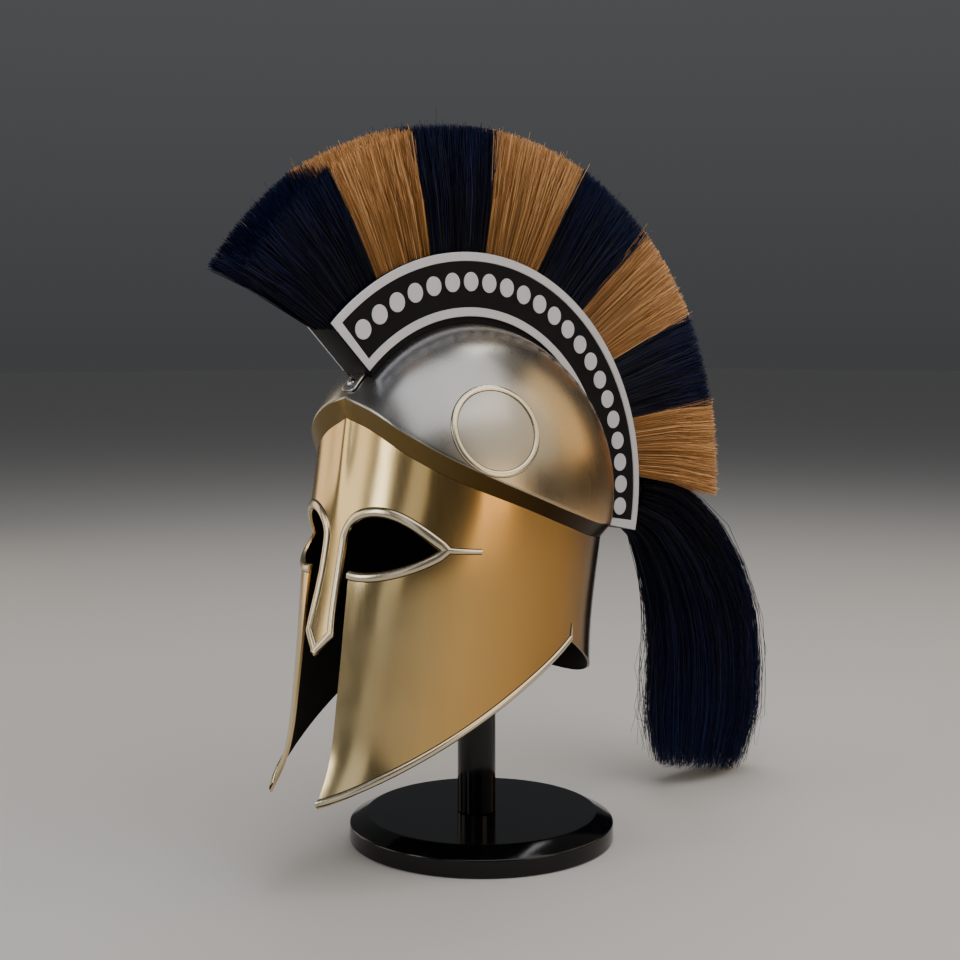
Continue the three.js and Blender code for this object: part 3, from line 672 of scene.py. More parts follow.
def make_materials():
    def stops(*colours):
        ends = (0.3, 0.7) if len(colours) == 2 else (0, 1)
        places = np.linspace(*ends, len(colours))
        return [(place, hex_colour(colour)) for place, colour in zip(places, colours)]
    c = hex_colour
    rearward = (0, 0.7071, -0.7071)
    MATERIALS.update(
        # Brass plate, buffed up and down: painted pale in front, deep gold on the cheeks and brown
        # behind, as painted reflections and shade
        brass=polished_metal("buffed brass plate",
                             stops("#DAC593", "#CCA86A", "#C99B58", "#AE8448", "#5A4428"),
                             0.2, 0.2, ((0, 1, 0), -0.15, 0.05), wave=0.9 * MM),
        # The same plate on the dome, with painted reflections: grey in front and golden low behind, and
        # darker than the face as painted shade, with soft even reflections
        skull=polished_metal("buffed brass plate of the skull",
                             stops("#9FA0A0", "#AA9E86", "#D0A05C"),
                             0.27, 0.0, (rearward, -0.34, -0.11), lines=(17, 17, 33), wave=0.25 * MM),
        # The same plate, painted dark brown under the lip as painted shade, lighter at the front and
        # darker towards the rear, so that the band reads dark
        band=polished_metal("brass of the band, painted shade", stops("#76633C", "#503D20", "#352612"),
                            0.3, 0.2, ((0, 1, 0), -0.13, -0.02)),
        # Champagne-coloured plate, polished: the trims are the brightest lines of the helmet
        pale=polished_metal("champagne plate of the trims", stops("#CDBFA0", "#DCD0B4"), 0.24),
        # Old polish and tarnish left in the joint: a thin dark outline along the beads
        patina=sprayed("patina in the joint", c("#2A2014"), c("#3A2C1B"), 0.7, 0.3),
        # Nickel plate with a satin grain: flat and pale, without clear reflections
        silver=polished_metal("nickel plate", stops("#CDD1DB", "#DADEE8"), 0.6, lines=(17, 17, 17)),
        # Nickel plate, polished: the strap mirrors the light
        strap=polished_metal("polished nickel strap", stops("#B9BABC", "#D2D3D4"), 0.25),
        # Dull black inside, painted shade, so that the openings read as dark
        inside=sprayed("dull black inside, painted shade", c("#0A0909"), c("#141210"), 0.8, 0.2),
        # Black enamel, satin: the field between the dots
        enamel=sprayed("black enamel", c("#0C0C0F"), c("#131316"), 0.5, 0.12),
        # Piano lacquer on turned wood: black with sharp reflections
        lacquer=sprayed("gloss black lacquer", c("#040405"), c("#09090A"), 0.12, 0.35),
        # Horsehair dyed navy: nearly black, painted blue towards the tips as a painted highlight
        navy=horsehair("navy horsehair", c("#020308"), c("#070B1C"), c("#16224E"), 0.15),
        # Undyed tan horsehair: brown at the roots as painted shade and straw-coloured at the tips as
        # painted highlight
        tan=horsehair("tan horsehair", c("#553818"), c("#A2723B"), c("#F5C286"), 0.3),
    )


# Helmet's sheet

# Inner faces of the sheet take the dull black of the inside, painted shade
SKULL_LOOKS = ("skull", "band", "inside", "inside")
FACE_LOOKS = ("brass", "inside")


def skull_sheet():
    """Skull with its rounded ridge and the slanting band under it."""
    turns = np.linspace(-math.pi, math.pi, 181)
    rim = skull_point(turns, 1.0)
    lip = face_point(turns, band_bottom(turns))
    down = unit(lip - rim)
    near = 1 - BAND_ROUND / RISE
    rows = [skull_point(turns, share) for share in np.linspace(0, near, 48)]
    start, end = rows[-1], rim + down * BAND_ROUND
    for t in np.linspace(0, 1, 6)[1:]:
        rows.append(start * (1 - t) ** 2 + rim * 2 * t * (1 - t) + end * t * t)
    rows += [end * (1 - t) + lip * t for t in np.linspace(0, 1, 7)[1:]]
    piece = lay_grid("skull_sheet", np.stack(rows, axis=1))
    centres = np.array([face.center for face in piece.data.polygons])
    # Faces of the band take the band's material, whose dark colour is painted shade
    on_band = centres[:, 2] < band_top(turn_of(centres)) - BAND_ROUND * 0.5
    for name in SKULL_LOOKS:
        piece.data.materials.append(MATERIALS[name])
    piece.data.polygons.foreach_set("material_index", np.where(on_band, 1, 0).astype(np.int32))
    return piece


def face_outline():
    """Outline of the face guard's sheet as turns and heights, round the whole helmet."""
    lines, lower = opening_lines(), lower_lines()
    front = joined_lines(lines["nasal"], lines["brow"], lines["lid"], lines["cheek"])
    points = face_from_front(front[:, 0], front[:, 1])
    side = joined_lines(lower["cheek"], lower["nape"])
    points = np.concatenate([points, face_from_side(side[1:, 0], side[1:, 1])])
    bottom = np.stack([turn_of(points), points[:, 2]], axis=1)
    bottom[-1, 0] = math.pi
    back = np.linspace(bottom[-1, 1], band_bottom(math.pi) - GAP, 50)[1:-1]
    top = np.linspace(math.pi, 0, 130)
    half = np.concatenate([
        bottom,
        np.stack([np.full(len(back), math.pi), back], axis=1),
        np.stack([top, band_bottom(top) - GAP], axis=1)])
    mirror = half[1:-1][::-1] * (-1, 1)
    return np.concatenate([half, mirror])


def inside_points(outline, spacing):
    """Grid points inside an outline, a little away from it."""
    low, high = outline.min(axis=0), outline.max(axis=0)
    across = np.arange(0, high[0], spacing)
    across = np.concatenate([-across[:0:-1], across])
    grid = np.stack(np.meshgrid(across, np.arange(low[1], high[1], spacing)), axis=-1).reshape(-1, 2)
    a, b = outline, np.roll(outline, -1, axis=0)
    leg = b - a
    kept = []
    for chunk in np.array_split(grid, 40):
        rel = chunk[:, None] - a
        t = np.clip((rel * leg).sum(-1) / (leg ** 2).sum(-1), 0, 1)
        gap = np.linalg.norm(rel - leg * t[..., None], axis=-1).min(axis=1)
        kept.append(chunk[gap > spacing * 0.5])
    return np.concatenate(kept)


def face_sheet(wall):
    """Face guard: one sheet with its openings, bent round the helmet and given its wall."""
    girth = 105 * MM
    outline = face_outline() * (girth, 1)
    points = np.concatenate([outline, inside_points(outline, 3 * MM)])
    flat, _, faces, _, _, _ = delaunay_2d_cdt(
        [Vector(p) for p in points], [], [list(range(len(outline)))], 1, 1e-7)
    flat = np.array([tuple(p) for p in flat])
    bent = face_point(flat[:, 0] / girth, flat[:, 1])
    piece = lay_mesh("face_sheet", bent, faces)
    edit(piece, weld)
    normals = np.array([face.normal for face in piece.data.polygons])
    centres = np.array([face.center for face in piece.data.polygons])
    if (normals[:, :2] * centres[:, :2]).sum() < 0:
        edit(piece, bpy.ops.mesh.flip_normals)
    for name in FACE_LOOKS:
        piece.data.materials.append(MATERIALS[name])
    apply_modifier(piece, "SOLIDIFY", thickness=wall, offset=-1, use_even_offset=True,
                   use_quality_normals=True, material_offset=1)
    return piece


def lap_strip(wall):
    """Top of the face guard's sheet, stepped in behind the skull's lip."""
    turns = np.linspace(-math.pi, math.pi, 181)
    lip = band_bottom(turns)
    near, far = wall + 0.1 * MM, wall * 2 + GAP
    section = [(-4 * MM, near), (-1 * MM, near), (LAP_HEIGHT, wall + GAP), (LAP_HEIGHT, far),
               (-4 * MM, far), (-4 * MM, near)]
    rows = [face_point(turns, lip + rise, depth) for rise, depth in section]
    piece = lay_grid("lap_strip", np.stack(rows, axis=1))
    # The strip takes the dull black of the inside: painted shade behind the lip
    piece.data.materials.append(MATERIALS["inside"])
    return piece


# Trims

def offset_line(line, distance):
    """A flat line moved sideways, to its left where the distance is positive, with square corners."""
    legs = unit(np.diff(line, axis=0))
    before = np.concatenate([legs[:1], legs])
    after = np.concatenate([legs, legs[-1:]])
    along = unit(before + after)
    reach = distance / np.clip((along * before).sum(-1), 0.4, 1)
    return line + np.stack([-along[:, 1], along[:, 0]], axis=1) * reach[:, None]


def eye_beads(width, height):
    """Bead down the nasal, over the brow and under the eye, with the pointed tail at its corner."""
    lines = opening_lines()
    half = width / 2
    border = joined_lines(lines["nasal"], lines["brow"][:-1])
    inset = offset_line(border, half)
    inset[:, 0] = np.maximum(inset[:, 0], GAP / 2)
    corner = lines["brow"][-1] + (half, 0)
    upper = joined_lines(inset, straight(inset[-1], corner, 2))
    lower = joined_lines(straight(corner, corner, 1), offset_line(lines["lid"], half)[1:])
    tail = straight(corner - EYE_TAIL * 0.1, corner + EYE_TAIL, 12)
    point = np.linspace(1, 0, len(tail))
    beads = []
    for name, line, half_width, high in (
            ("upper_bead", upper, half, height),
            ("lower_bead", lower, half * 0.9, height),
            ("tail_bead", tail, half * (0.48 + 0.16 * point), height * (0.5 + 0.4 * point))):
        on_face = face_from_front(line[:, 0], line[:, 1])
        beads.append(with_patina(name, on_face, face_normal(on_face), half_width, high))
    return weave_in(*beads)


def cheek_bead(width, height):
    """Strip along the cheek's lower edge, cut to a point at the slit, with the spike at the notch."""
    edge = lower_lines()["cheek"]
    ahead = edge[0] + unit(edge[0] - edge[1]) * width
    inset = offset_line(joined_lines(straight(ahead, edge[0], 8), edge), width / 2)
    on_face = face_from_side(inset[:, 0], inset[:, 1])
    strip = with_patina("cheek_bead", on_face, face_normal(on_face), width / 2, height)
    slit = opening_lines()["cheek"]
    course = unit(slit[-1] - slit[-6])
    tip = face_from_front(SLIT_TIP, -CHEEK_DROP)
    edit(strip, lambda: bpy.ops.mesh.bisect(
        plane_co=tuple(tip), plane_no=(-course[1], 0, course[0]), use_fill=True, clear_inner=True))
    spike = straight(inset[-1] - (0, 1 * MM), inset[-1] + (0, SPIKE), 12)
    on_face = face_from_side(spike[:, 0], spike[:, 1])
    point = np.linspace(1, 0, len(spike))
    thorn = with_patina("spike", on_face, face_normal(on_face),
                        SPIKE_POINT + (SPIKE_HALF - SPIKE_POINT) * point, height * (0.4 + 0.5 * point))
    return weave_in(strip, thorn)


def side_ring_wire():
    """Thin ring, bent to the skull's side."""
    up = math.asin(RING_RISE / RISE)
    centre = np.array([
        HALF_WIDTH * math.cos(up) * math.sin(RING_TURN),
        -HALF_LENGTH * math.cos(up) * math.cos(RING_TURN),
        RING_RISE])
    out = skull_normal(centre)
    across = unit(np.cross((0, 0, 1), out))
    above = np.cross(out, across)
    angles = np.linspace(0, 2 * math.pi, 97)[:-1, None]
    flat = centre + RING_RADIUS * (np.cos(angles) * across + np.sin(angles) * above)
    size = np.array([HALF_WIDTH, HALF_LENGTH, RISE])
    p, d = flat / size, out / size
    a, b, c = (d * d).sum(), 2 * (p * d).sum(-1), (p * p).sum(-1) - 1
    reach = (-b + np.sqrt(b * b - 4 * a * c)) / (2 * a)
    line = flat + out * reach[:, None]
    return with_patina("ring_wire", line, skull_normal(line), RING_WIRE, RING_WIRE * 0.5, PATINA / 2,
                       closed=True)


# Crest

def channel():
    """Black channel that rests on the skull, with a plate across each end."""
    inner = CHANNEL_HALF - CHANNEL_WALL
    def seat(x):
        return HALF_LENGTH * math.sqrt(1 - (x / HALF_WIDTH) ** 2) + GAP
    section = [
        (CHANNEL_HALF, seat(CHANNEL_HALF)), (CHANNEL_HALF, CREST_RADIUS), (inner, CREST_RADIUS),
        (inner, CHANNEL_FLOOR), (-inner, CHANNEL_FLOOR), (-inner, CREST_RADIUS),
        (-CHANNEL_HALF, CREST_RADIUS), (-CHANNEL_HALF, seat(CHANNEL_HALF)),
        (-inner, seat(inner)), (-inner, CHANNEL_FLOOR - CHANNEL_WALL),
        (inner, CHANNEL_FLOOR - CHANNEL_WALL), (inner, seat(inner)), (CHANNEL_HALF, seat(CHANNEL_HALF)),
    ]
    angles = np.linspace(CREST_FRONT, CREST_REAR, 121)
    points = np.stack([on_arc(angles, r, x) for x, r in section], axis=1)
    piece = lay_grid("channel", points)
    ends = []
    for degrees in (CREST_FRONT, CREST_REAR):
        into = math.degrees(END_WALL / CREST_RADIUS) * (1 if degrees == CREST_FRONT else -1)
        middle = degrees + into / 2
        low = HALF_LENGTH + GAP * 2
        deselect()
        bpy.ops.mesh.primitive_cube_add(
            size=1, location=tuple(on_arc(middle, (low + CREST_RADIUS) / 2)),
            rotation=(math.radians(90 - middle), 0, 0),
            scale=(CHANNEL_HALF * 2, END_WALL, CREST_RADIUS - low))
        plate = settled()
        apply_modifier(plate, "BEVEL", width=0.3 * MM, segments=2)
        ends.append(plate)
    return weave_in(piece, *ends)


def plate_height(depth):
    """Height of the plate's face at a distance in from its edge: a raised border, then the field."""
    edge = 0.35 * MM
    rise = np.clip(depth / edge, 0, 1) * 0.5 + 0.5
    fall = np.clip((BORDER - depth) / edge, 0, 1)
    return RELIEF * np.minimum(rise, fall)


def side_plate():
    """Side plate on the left: raised nickel border round a black field."""
    steps = np.array([0, 0.35, BORDER / MM - 0.35, BORDER / MM]) * MM
    width = CREST_RADIUS - PANEL_RADIUS
    radii = np.concatenate([steps, np.linspace(BORDER, width - BORDER, 6)[1:-1], (width - steps)[::-1]])
    span = math.radians(CREST_REAR - CREST_FRONT)
    middle_radius = PANEL_RADIUS + width / 2
    length = span * middle_radius
    along = np.concatenate([
        steps, np.linspace(BORDER, length - BORDER, 121)[1:-1], (length - steps)[::-1]])
    a, r = np.meshgrid(along, radii, indexing="ij")
    depth = np.minimum.reduce([r, width - r, a, length - a])
    degrees = CREST_FRONT + np.degrees(a / middle_radius)
    x = CHANNEL_HALF + GAP + PLATE_THICKNESS + plate_height(depth)
    piece = lay_grid("side_plate", on_arc(degrees, PANEL_RADIUS + r, x))
    if sum(face.normal.x for face in piece.data.polygons) < 0:
        edit(piece, bpy.ops.mesh.flip_normals)
    field = CHANNEL_HALF + GAP + PLATE_THICKNESS + RELIEF * 0.1
    piece.data.polygons.foreach_set(
        "material_index", [int(face.center.x < field) for face in piece.data.polygons])
    piece.data.materials.append(MATERIALS["silver"])
    piece.data.materials.append(MATERIALS["enamel"])
    apply_modifier(piece, "SOLIDIFY", thickness=PLATE_THICKNESS, offset=-1, use_even_offset=True)
    return piece


def plate_dots():
    """Row of raised nickel dots, each a flat disc with an eased rim."""
    inset = math.degrees(DOT_INSET / DOT_ARC)
    x = CHANNEL_HALF + GAP + PLATE_THICKNESS + RELIEF / 2
    dots = []
    for degrees in np.linspace(CREST_FRONT + inset, CREST_REAR - inset, DOTS):
        deselect()
        bpy.ops.mesh.primitive_cylinder_add(
            vertices=32, radius=DOT_RADIUS, depth=RELIEF, location=tuple(on_arc(degrees, DOT_ARC, x)),
            rotation=(0, math.radians(90), 0))
        dot = settled()
        apply_modifier(dot, "BEVEL", width=0.15 * MM, segments=1, angle_limit=math.radians(60))
        dot.data.materials.append(MATERIALS["silver"])
        dots.append(dot)
    return weave_in(*dots)


def bracket_strap():
    """Strap from the skull to the front of the crest box, with its lower corners rounded."""
    reach = math.degrees(BRACKET_REACH / HALF_LENGTH)
    along = np.linspace(0, 1, 29) ** 1.5
    line = on_arc(CREST_FRONT - reach + along * reach * 1.4, HALF_LENGTH + GAP)
    near = np.clip(BRACKET_ROUND - along * BRACKET_REACH * 1.4, 0, None)
    half = BRACKET_HALF - BRACKET_ROUND + np.sqrt(BRACKET_ROUND ** 2 - near ** 2)
    strap = lay_bead("strap", line, unit(line), half, BRACKET_WALL, square=0.25)
    skirt = lay_bead("skirt", line, unit(line), half + PATINA, PATINA_HEIGHT)
    degrees = CREST_FRONT - reach * RIVET_PLACE
    deselect()
    bpy.ops.mesh.primitive_cylinder_add(
        vertices=32, radius=RIVET_RADIUS + PATINA, depth=0.2 * MM,
        location=tuple(on_arc(degrees, HALF_LENGTH + GAP + BRACKET_WALL)),
        rotation=(math.radians(90 - degrees), 0, 0))
    washer = settled()
    return weave_in(coated(strap, "strap"), coated(skirt, "patina"), coated(washer, "patina"))


def rivet_head():
    reach = math.degrees(BRACKET_REACH / HALF_LENGTH)
    degrees = CREST_FRONT - reach * RIVET_PLACE
    place = on_arc(degrees, HALF_LENGTH + GAP + BRACKET_WALL + 0.1 * MM)
    deselect()
    bpy.ops.mesh.primitive_uv_sphere_add(
        segments=32, ring_count=16, radius=1, location=tuple(place),
        rotation=(math.radians(90 - degrees), 0, 0), scale=(RIVET_RADIUS, RIVET_RADIUS, RIVET_HEIGHT))
    head = settled()
    head.name = head.data.name = "rivet_head"
    edit(head, lambda: bpy.ops.mesh.bisect(
        plane_co=tuple(place), plane_no=tuple(unit(place)), use_fill=True, clear_inner=True))
    return head


# Plume

def strands(name, courses, thickness, tones, seed):
    """Many three-sided hairs in one mesh. courses is an array of hairs, levels and places."""
    rng = np.random.default_rng(seed)
    hairs, levels = courses.shape[:2]
    course = unit(courses[:, -1] - courses[:, 0])
    side = unit(np.cross(course, rng.normal(size=(hairs, 3))))
    other = np.cross(course, side)
    taper = np.linspace(1.0, 0.55, levels)
    corners = []
    for k in range(3):
        angle = 2 * math.pi * k / 3
        out = side * math.cos(angle) + other * math.sin(angle)
        corners.append(courses + out[:, None] * (thickness[:, None] * taper)[..., None])
    points = np.stack(corners, axis=2).reshape(-1, 3)
    base = np.arange(hairs)[:, None, None] * levels * 3
    ring = np.arange(levels - 1)[None, :, None] * 3
    k = np.arange(3)[None, None, :]
    a = base + ring + k
    b = base + ring + (k + 1) % 3
    quads = np.stack([a, b, b + 3, a + 3], axis=-1).reshape(-1, 4)
    last = base[:, 0] + (levels - 1) * 3
    ends = np.concatenate([last + (0, 1, 2), base[:, 0] + (2, 1, 0)])
    # Painted light: each hair is darker towards its root as painted shade and lighter towards its tip
    # as painted highlight
    painted_light = np.linspace(-0.28, 0.26, levels)
    tones_with_painted_light = np.clip(tones[:, None] + painted_light, 0, 1)
    return hair_mesh(name, points, quads, ends, np.repeat(tones_with_painted_light.ravel(), 3))


def hair_mesh(name, points, quads, triangles, tones):
    mesh = bpy.data.meshes.new(name)
    mesh.vertices.add(len(points))
    mesh.vertices.foreach_set("co", points.ravel())
    corners = np.concatenate([quads.ravel(), triangles.ravel()])
    mesh.loops.add(len(corners))
    mesh.loops.foreach_set("vertex_index", corners.astype(np.int32))
    counts = np.concatenate([np.full(len(quads), 4), np.full(len(triangles), 3)])
    starts = np.concatenate([[0], np.cumsum(counts)[:-1]])
    mesh.polygons.add(len(counts))
    mesh.polygons.foreach_set("loop_start", starts.astype(np.int32))
    mesh.update(calc_edges=True)
    mesh.validate()
    tone = mesh.attributes.new("tone", "FLOAT", "POINT")
    tone.data.foreach_set("value", tones.astype(np.float32))
    piece = bpy.data.objects.new(name, mesh)
    bpy.context.scene.collection.objects.link(piece)
    return piece


LOOP = np.linspace(0, 2 * math.pi, 25)


def dark_core(rows):
    """A closed form that fills the middle of the hair, as dark as the shade between hairs."""
    first, last = [np.repeat(row.mean(axis=0)[None], len(LOOP), axis=0) for row in (rows[0], rows[-1])]
    core = lay_grid("core", np.stack([first, *rows, last], axis=0))
    tone = core.data.attributes.new("tone", "FLOAT", "POINT")
    tone.data.foreach_set("value", np.full(len(core.data.vertices), CORE_TONE, np.float32))
    return core


def border_angles(number):
    row = PLUME_BORDERS[number]
    span = CREST_REAR - CREST_FRONT
    return CREST_FRONT + row["root"] * span, CREST_FRONT + row["tip"] * span, row["length"]


def band_place(number, share, across, level):
    """Place in a band of the plume: share along it, across it from -1 to 1, level up to the tips."""
    root_from, tip_from, length_from = border_angles(number)
    root_to, tip_to, length_to = border_angles(number + 1)
    root = root_from + (root_to - root_from) * share
    tip = tip_from + (tip_to - tip_from) * share
    degrees = root + (tip - root) * level
    start = CREST_RADIUS - HAIR_IN_BOX
    clipped = length_from + (length_to - length_from) * share
    end = CREST_RADIUS + (PLUME_LENGTH + PLUME_CROWN * (1 - across ** 2)) * clipped
    spread = ROOT_HALF + (PLUME_HALF - ROOT_HALF) * level ** 0.85
    return on_arc(degrees, start + (end - start) * level, across * spread)


def plume_band(number, count, thickness):
    rng = np.random.default_rng(BAND_SEED + number)
    share = rng.uniform(0.004, 0.996, count)
    # Some hairs hug the band's two borders, so that its end faces are as dense as its flanks
    hug = rng.random(count) < 0.12
    inward = np.where(share[hug] < 0.5, 1, -1)
    share[hug] = np.round(share[hug]) + inward * np.abs(rng.normal(0, 0.012, hug.sum()))
    across = rng.uniform(-1, 1, count)
    skin = rng.random(count) < 0.6
    across[skin] = np.sign(across[skin]) * (1 - np.abs(rng.normal(0, 0.1, skin.sum())))
    level_end = 1 - rng.exponential(0.038, count) + 0.016
    courses = []
    for level in (0.0, 0.5, 1.0):
        at = level * level_end
        sway = rng.normal(0, 0.02, count) * level
        courses.append(band_place(number, share + sway, across, at))
    courses = np.stack(courses, axis=1)
    courses[:, 1:] += rng.normal(0, 0.55 * MM, (count, 2, 3))
    stray = rng.random(count) < 0.05
    courses[stray, 2] += rng.normal(0, 2.8 * MM, (stray.sum(), 3))
    tones = np.clip(rng.normal(0.5, 0.22, count), 0, 1)
    hair = strands("hair", courses, rng.uniform(0.7, 1.2, count) * thickness, tones, HAIR_SEED + number)
    cos, sin = np.cos(LOOP), np.sin(LOOP)
    share = 0.5 + 0.45 * np.sign(cos) * np.abs(cos) ** 0.3
    across = 0.82 * np.sign(sin) * np.abs(sin) ** 0.5
    return weave_in(hair, dark_core([
        band_place(number, share, across, level) for level in np.linspace(0, 0.88, 6)]))


def tail_place(at, a, b):
    """Place in the tail: share of its length, and across it fore and aft (a) and sideways (b)."""
    root_angle = (border_angles(8)[0] + CREST_REAR) / 2
    start = on_arc(root_angle, CREST_RADIUS + TAIL_LIFT)

    def middle(t):
        y = start[1] + read_table(TAIL_SECTIONS, "back", t) * TAIL_REACH
        z = start[2] - read_table(TAIL_SECTIONS, "down", t) * TAIL_LENGTH
        return np.stack([y, z], axis=-1)
    course = unit(middle(np.minimum(at + 0.02, 1)) - middle(np.maximum(at - 0.02, 0)))
    wide = read_table(TAIL_SECTIONS, "wide", at) * TAIL_WIDTH
    thick = read_table(TAIL_SECTIONS, "thick", at) * TAIL_DEPTH
    yz = middle(at) + np.stack([-course[..., 1], course[..., 0]], axis=-1) * (wide * a)[..., None]
    return stacked(thick * b, yz[..., 0], yz[..., 1])


def plume_tail(count, thickness):
    rng = np.random.default_rng(TAIL_SEED)
    angle = rng.uniform(0, 2 * math.pi, count)
    radius = np.sqrt(rng.random(count))
    skin = rng.random(count) < 0.55
    radius[skin] = 1 - np.abs(rng.normal(0, 0.08, skin.sum()))
    stray = rng.random(count) < 0.07
    reach_end = np.clip(rng.normal(0.99, 0.04, count), 0.7, 1.03) - rng.uniform(0, 0.02, count)
    sway_a, sway_b = rng.normal(0, 0.08, (2, count))
    courses = []
    for level in np.linspace(0, 1, 10) ** 1.3:
        spread = radius * (1 + stray * level * rng.uniform(0.05, 0.34, count))
        a = spread * np.cos(angle) + sway_a * level
        b = spread * np.sin(angle) + sway_b * level
        courses.append(tail_place(level * reach_end, a, b))
    courses = np.stack(courses, axis=1)
    # The longest hairs end just over the surface that the stand is on
    lowest = rng.uniform(*LOWEST_HAIR, count)[:, None] - CENTRE[2]
    courses[..., 2] = np.maximum(courses[..., 2], lowest)
    tones = np.clip(rng.normal(0.5, 0.22, count), 0, 1)
    hair = strands("hair", courses, rng.uniform(0.7, 1.2, count) * thickness, tones, TAIL_SEED + 1)
    return weave_in(hair, dark_core([
        tail_place(np.full(len(LOOP), at), 0.86 * np.cos(LOOP), 0.86 * np.sin(LOOP))
        for at in np.linspace(0, 0.9, 12)]))


# Stand

def stand_foot():
    """Turned foot: a disc with a broad chamfer and eased edges."""
    radius, _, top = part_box("stand_base")[1]
    deselect()
    bpy.ops.mesh.primitive_cylinder_add(
        vertices=128, radius=radius, depth=FOOT_RIM, location=(0, 0, FOOT_RIM / 2))
    foot = settled()
    activate(foot)
    bpy.ops.object.mode_set(mode="EDIT")
    bpy.ops.mesh.select_all(action="DESELECT")
    bpy.ops.object.mode_set(mode="OBJECT")
    for face in foot.data.polygons:
        face.select = face.normal.z > 0.9
    bpy.ops.object.mode_set(mode="EDIT")
    bpy.ops.mesh.extrude_region_move(TRANSFORM_OT_translate={"value": (0, 0, top - FOOT_RIM)})
    bpy.ops.transform.resize(value=(FOOT_TOP, FOOT_TOP, 1))
    bpy.ops.mesh.inset(thickness=FOOT_INSET)
    bpy.ops.object.mode_set(mode="OBJECT")
    apply_modifier(foot, "BEVEL", width=0.9 * MM, segments=4, angle_limit=math.radians(15))
    foot.name = foot.data.name = "foot"
    return foot


def stand_post():
    low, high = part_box("stand_post")
    deselect()
    bpy.ops.mesh.primitive_cylinder_add(
        vertices=64, radius=POST_RADIUS, depth=high[2] - low[2],
        location=(0, (low[1] + high[1]) / 2, (low[2] + high[2]) / 2))
    post = settled()
    apply_modifier(post, "BEVEL", width=0.6 * MM, segments=3, angle_limit=math.radians(60))
    post.name = post.data.name = "post"
    return post


# Settings

class HelmetSheetSettings(bpy.types.PropertyGroup):
    wall: FloatProperty(name="Wall", description="Thickness of the sheet metal",
                        default=1.8 * MM, min=0.5 * MM, unit="LENGTH")
    eye_trim_width: FloatProperty(name="Eye trim width", description="Width of the bead round the eyes",
                                  default=6.0 * MM, min=1 * MM, unit="LENGTH")
    cheek_trim_width: FloatProperty(name="Cheek trim width", description="Width of the cheeks' strip",
                                    default=4.4 * MM, min=1 * MM, unit="LENGTH")
    trim_height: FloatProperty(name="Trim height", description="How far the trims stand proud",
                               default=1.6 * MM, min=0.5 * MM, unit="LENGTH")


class HelmetPlumeSettings(bpy.types.PropertyGroup):
    band_hairs: IntProperty(name="Hairs in a band", description="Hairs drawn in each band of the plume",
                            default=4800, min=100)
    tail_hairs: IntProperty(name="Hairs in the tail", description="Hairs drawn in the tail",
                            default=3400, min=100)
    # Horsehair is about 0.2 mm thick, which is too fine to show, so it is drawn coarser
    hair_radius: FloatProperty(name="Hair radius", description="Half the thickness of a drawn hair",
                               default=0.29 * MM, min=0.1 * MM, unit="LENGTH")


class HelmetStageSettings(bpy.types.PropertyGroup):
    floor_colour: FloatVectorProperty(name="Floor", description="Colour of the floor", subtype="COLOR",
                                      size=4, default=hex_colour("#C8C6C2"))
    light_power: FloatProperty(name="Light power", description="Power of the main softbox",
                               default=26.0, min=0, unit="POWER")
    lens: FloatProperty(name="Lens", description="Focal length on a 36 mm frame", default=58.41)


# Operators

class HELMET_OT_sheet(bpy.types.Operator):
    """Builds the skull and the face guard"""
    bl_idname = "helmet.sheet"
    bl_label = "Skull and Face Guard"

    def execute(self, context):
        wall = context.scene.helmet_sheet.wall
        skull = skull_sheet()
        apply_modifier(skull, "SOLIDIFY", thickness=wall, offset=-1, use_even_offset=True,
                       material_offset=2)
        finish_piece(skull, ["skull"])
        face = weave_in(face_sheet(wall), lap_strip(wall))
        finish_piece(face, ["face_guard"])
        return {"FINISHED"}


class HELMET_OT_trims(bpy.types.Operator):
    """Builds the eye and cheek trims and the side rings"""
    bl_idname = "helmet.trims"
    bl_label = "Trims"

    def execute(self, context):
        sheet = context.scene.helmet_sheet
        made = {
            "eye_trim": eye_beads(sheet.eye_trim_width, sheet.trim_height),
            "cheek_trim": cheek_bead(sheet.cheek_trim_width, sheet.trim_height),
            "side_ring": side_ring_wire(),
        }
        for name, left in made.items():
            left.name = left.data.name = f"{name}_bead_left"
            right = mirror_copy(left, f"{name}_bead_right")
            finish_piece(left, [f"{name}_left"])
            finish_piece(right, [f"{name}_right"])
        return {"FINISHED"}


class HELMET_OT_crest(bpy.types.Operator):
    """Builds the crest box, its side plates, the bracket and its rivet"""
    bl_idname = "helmet.crest"
    bl_label = "Crest Box"

    def execute(self, context):
        finish_piece(coated(channel(), "enamel"), ["crest_box"])
        left = weave_in(side_plate(), plate_dots())
        left.name = left.data.name = "side_plate_left"
        right = mirror_copy(left, "side_plate_right")
        finish_piece(left, ["crest_plate_left"])
        finish_piece(right, ["crest_plate_right"])
        finish_piece(bracket_strap(), ["front_bracket"])
        finish_piece(coated(rivet_head(), "strap"), ["front_rivet"])
        return {"FINISHED"}


class HELMET_OT_plume(bpy.types.Operator):
    """Builds the plume's bands and its tail from hairs"""
    bl_idname = "helmet.plume"
    bl_label = "Plume"

    def execute(self, context):
        plume = context.scene.helmet_plume
        for number in range(len(PLUME_BORDERS) - 2):
            look, slot = (("navy", "navy_hair"), ("tan", "tan_hair"))[number % 2]
            band = plume_band(number, plume.band_hairs, plume.hair_radius)
            band.name = band.data.name = f"band_hair_{number + 1}"
            finish_piece(coated(band, look), [f"plume_band_{number + 1}"], angle=80)
        tail = plume_tail(plume.tail_hairs, plume.hair_radius)
        tail.name = tail.data.name = "tail_hair"
        finish_piece(coated(tail, "navy"), ["plume_tail"], angle=80)
        return {"FINISHED"}


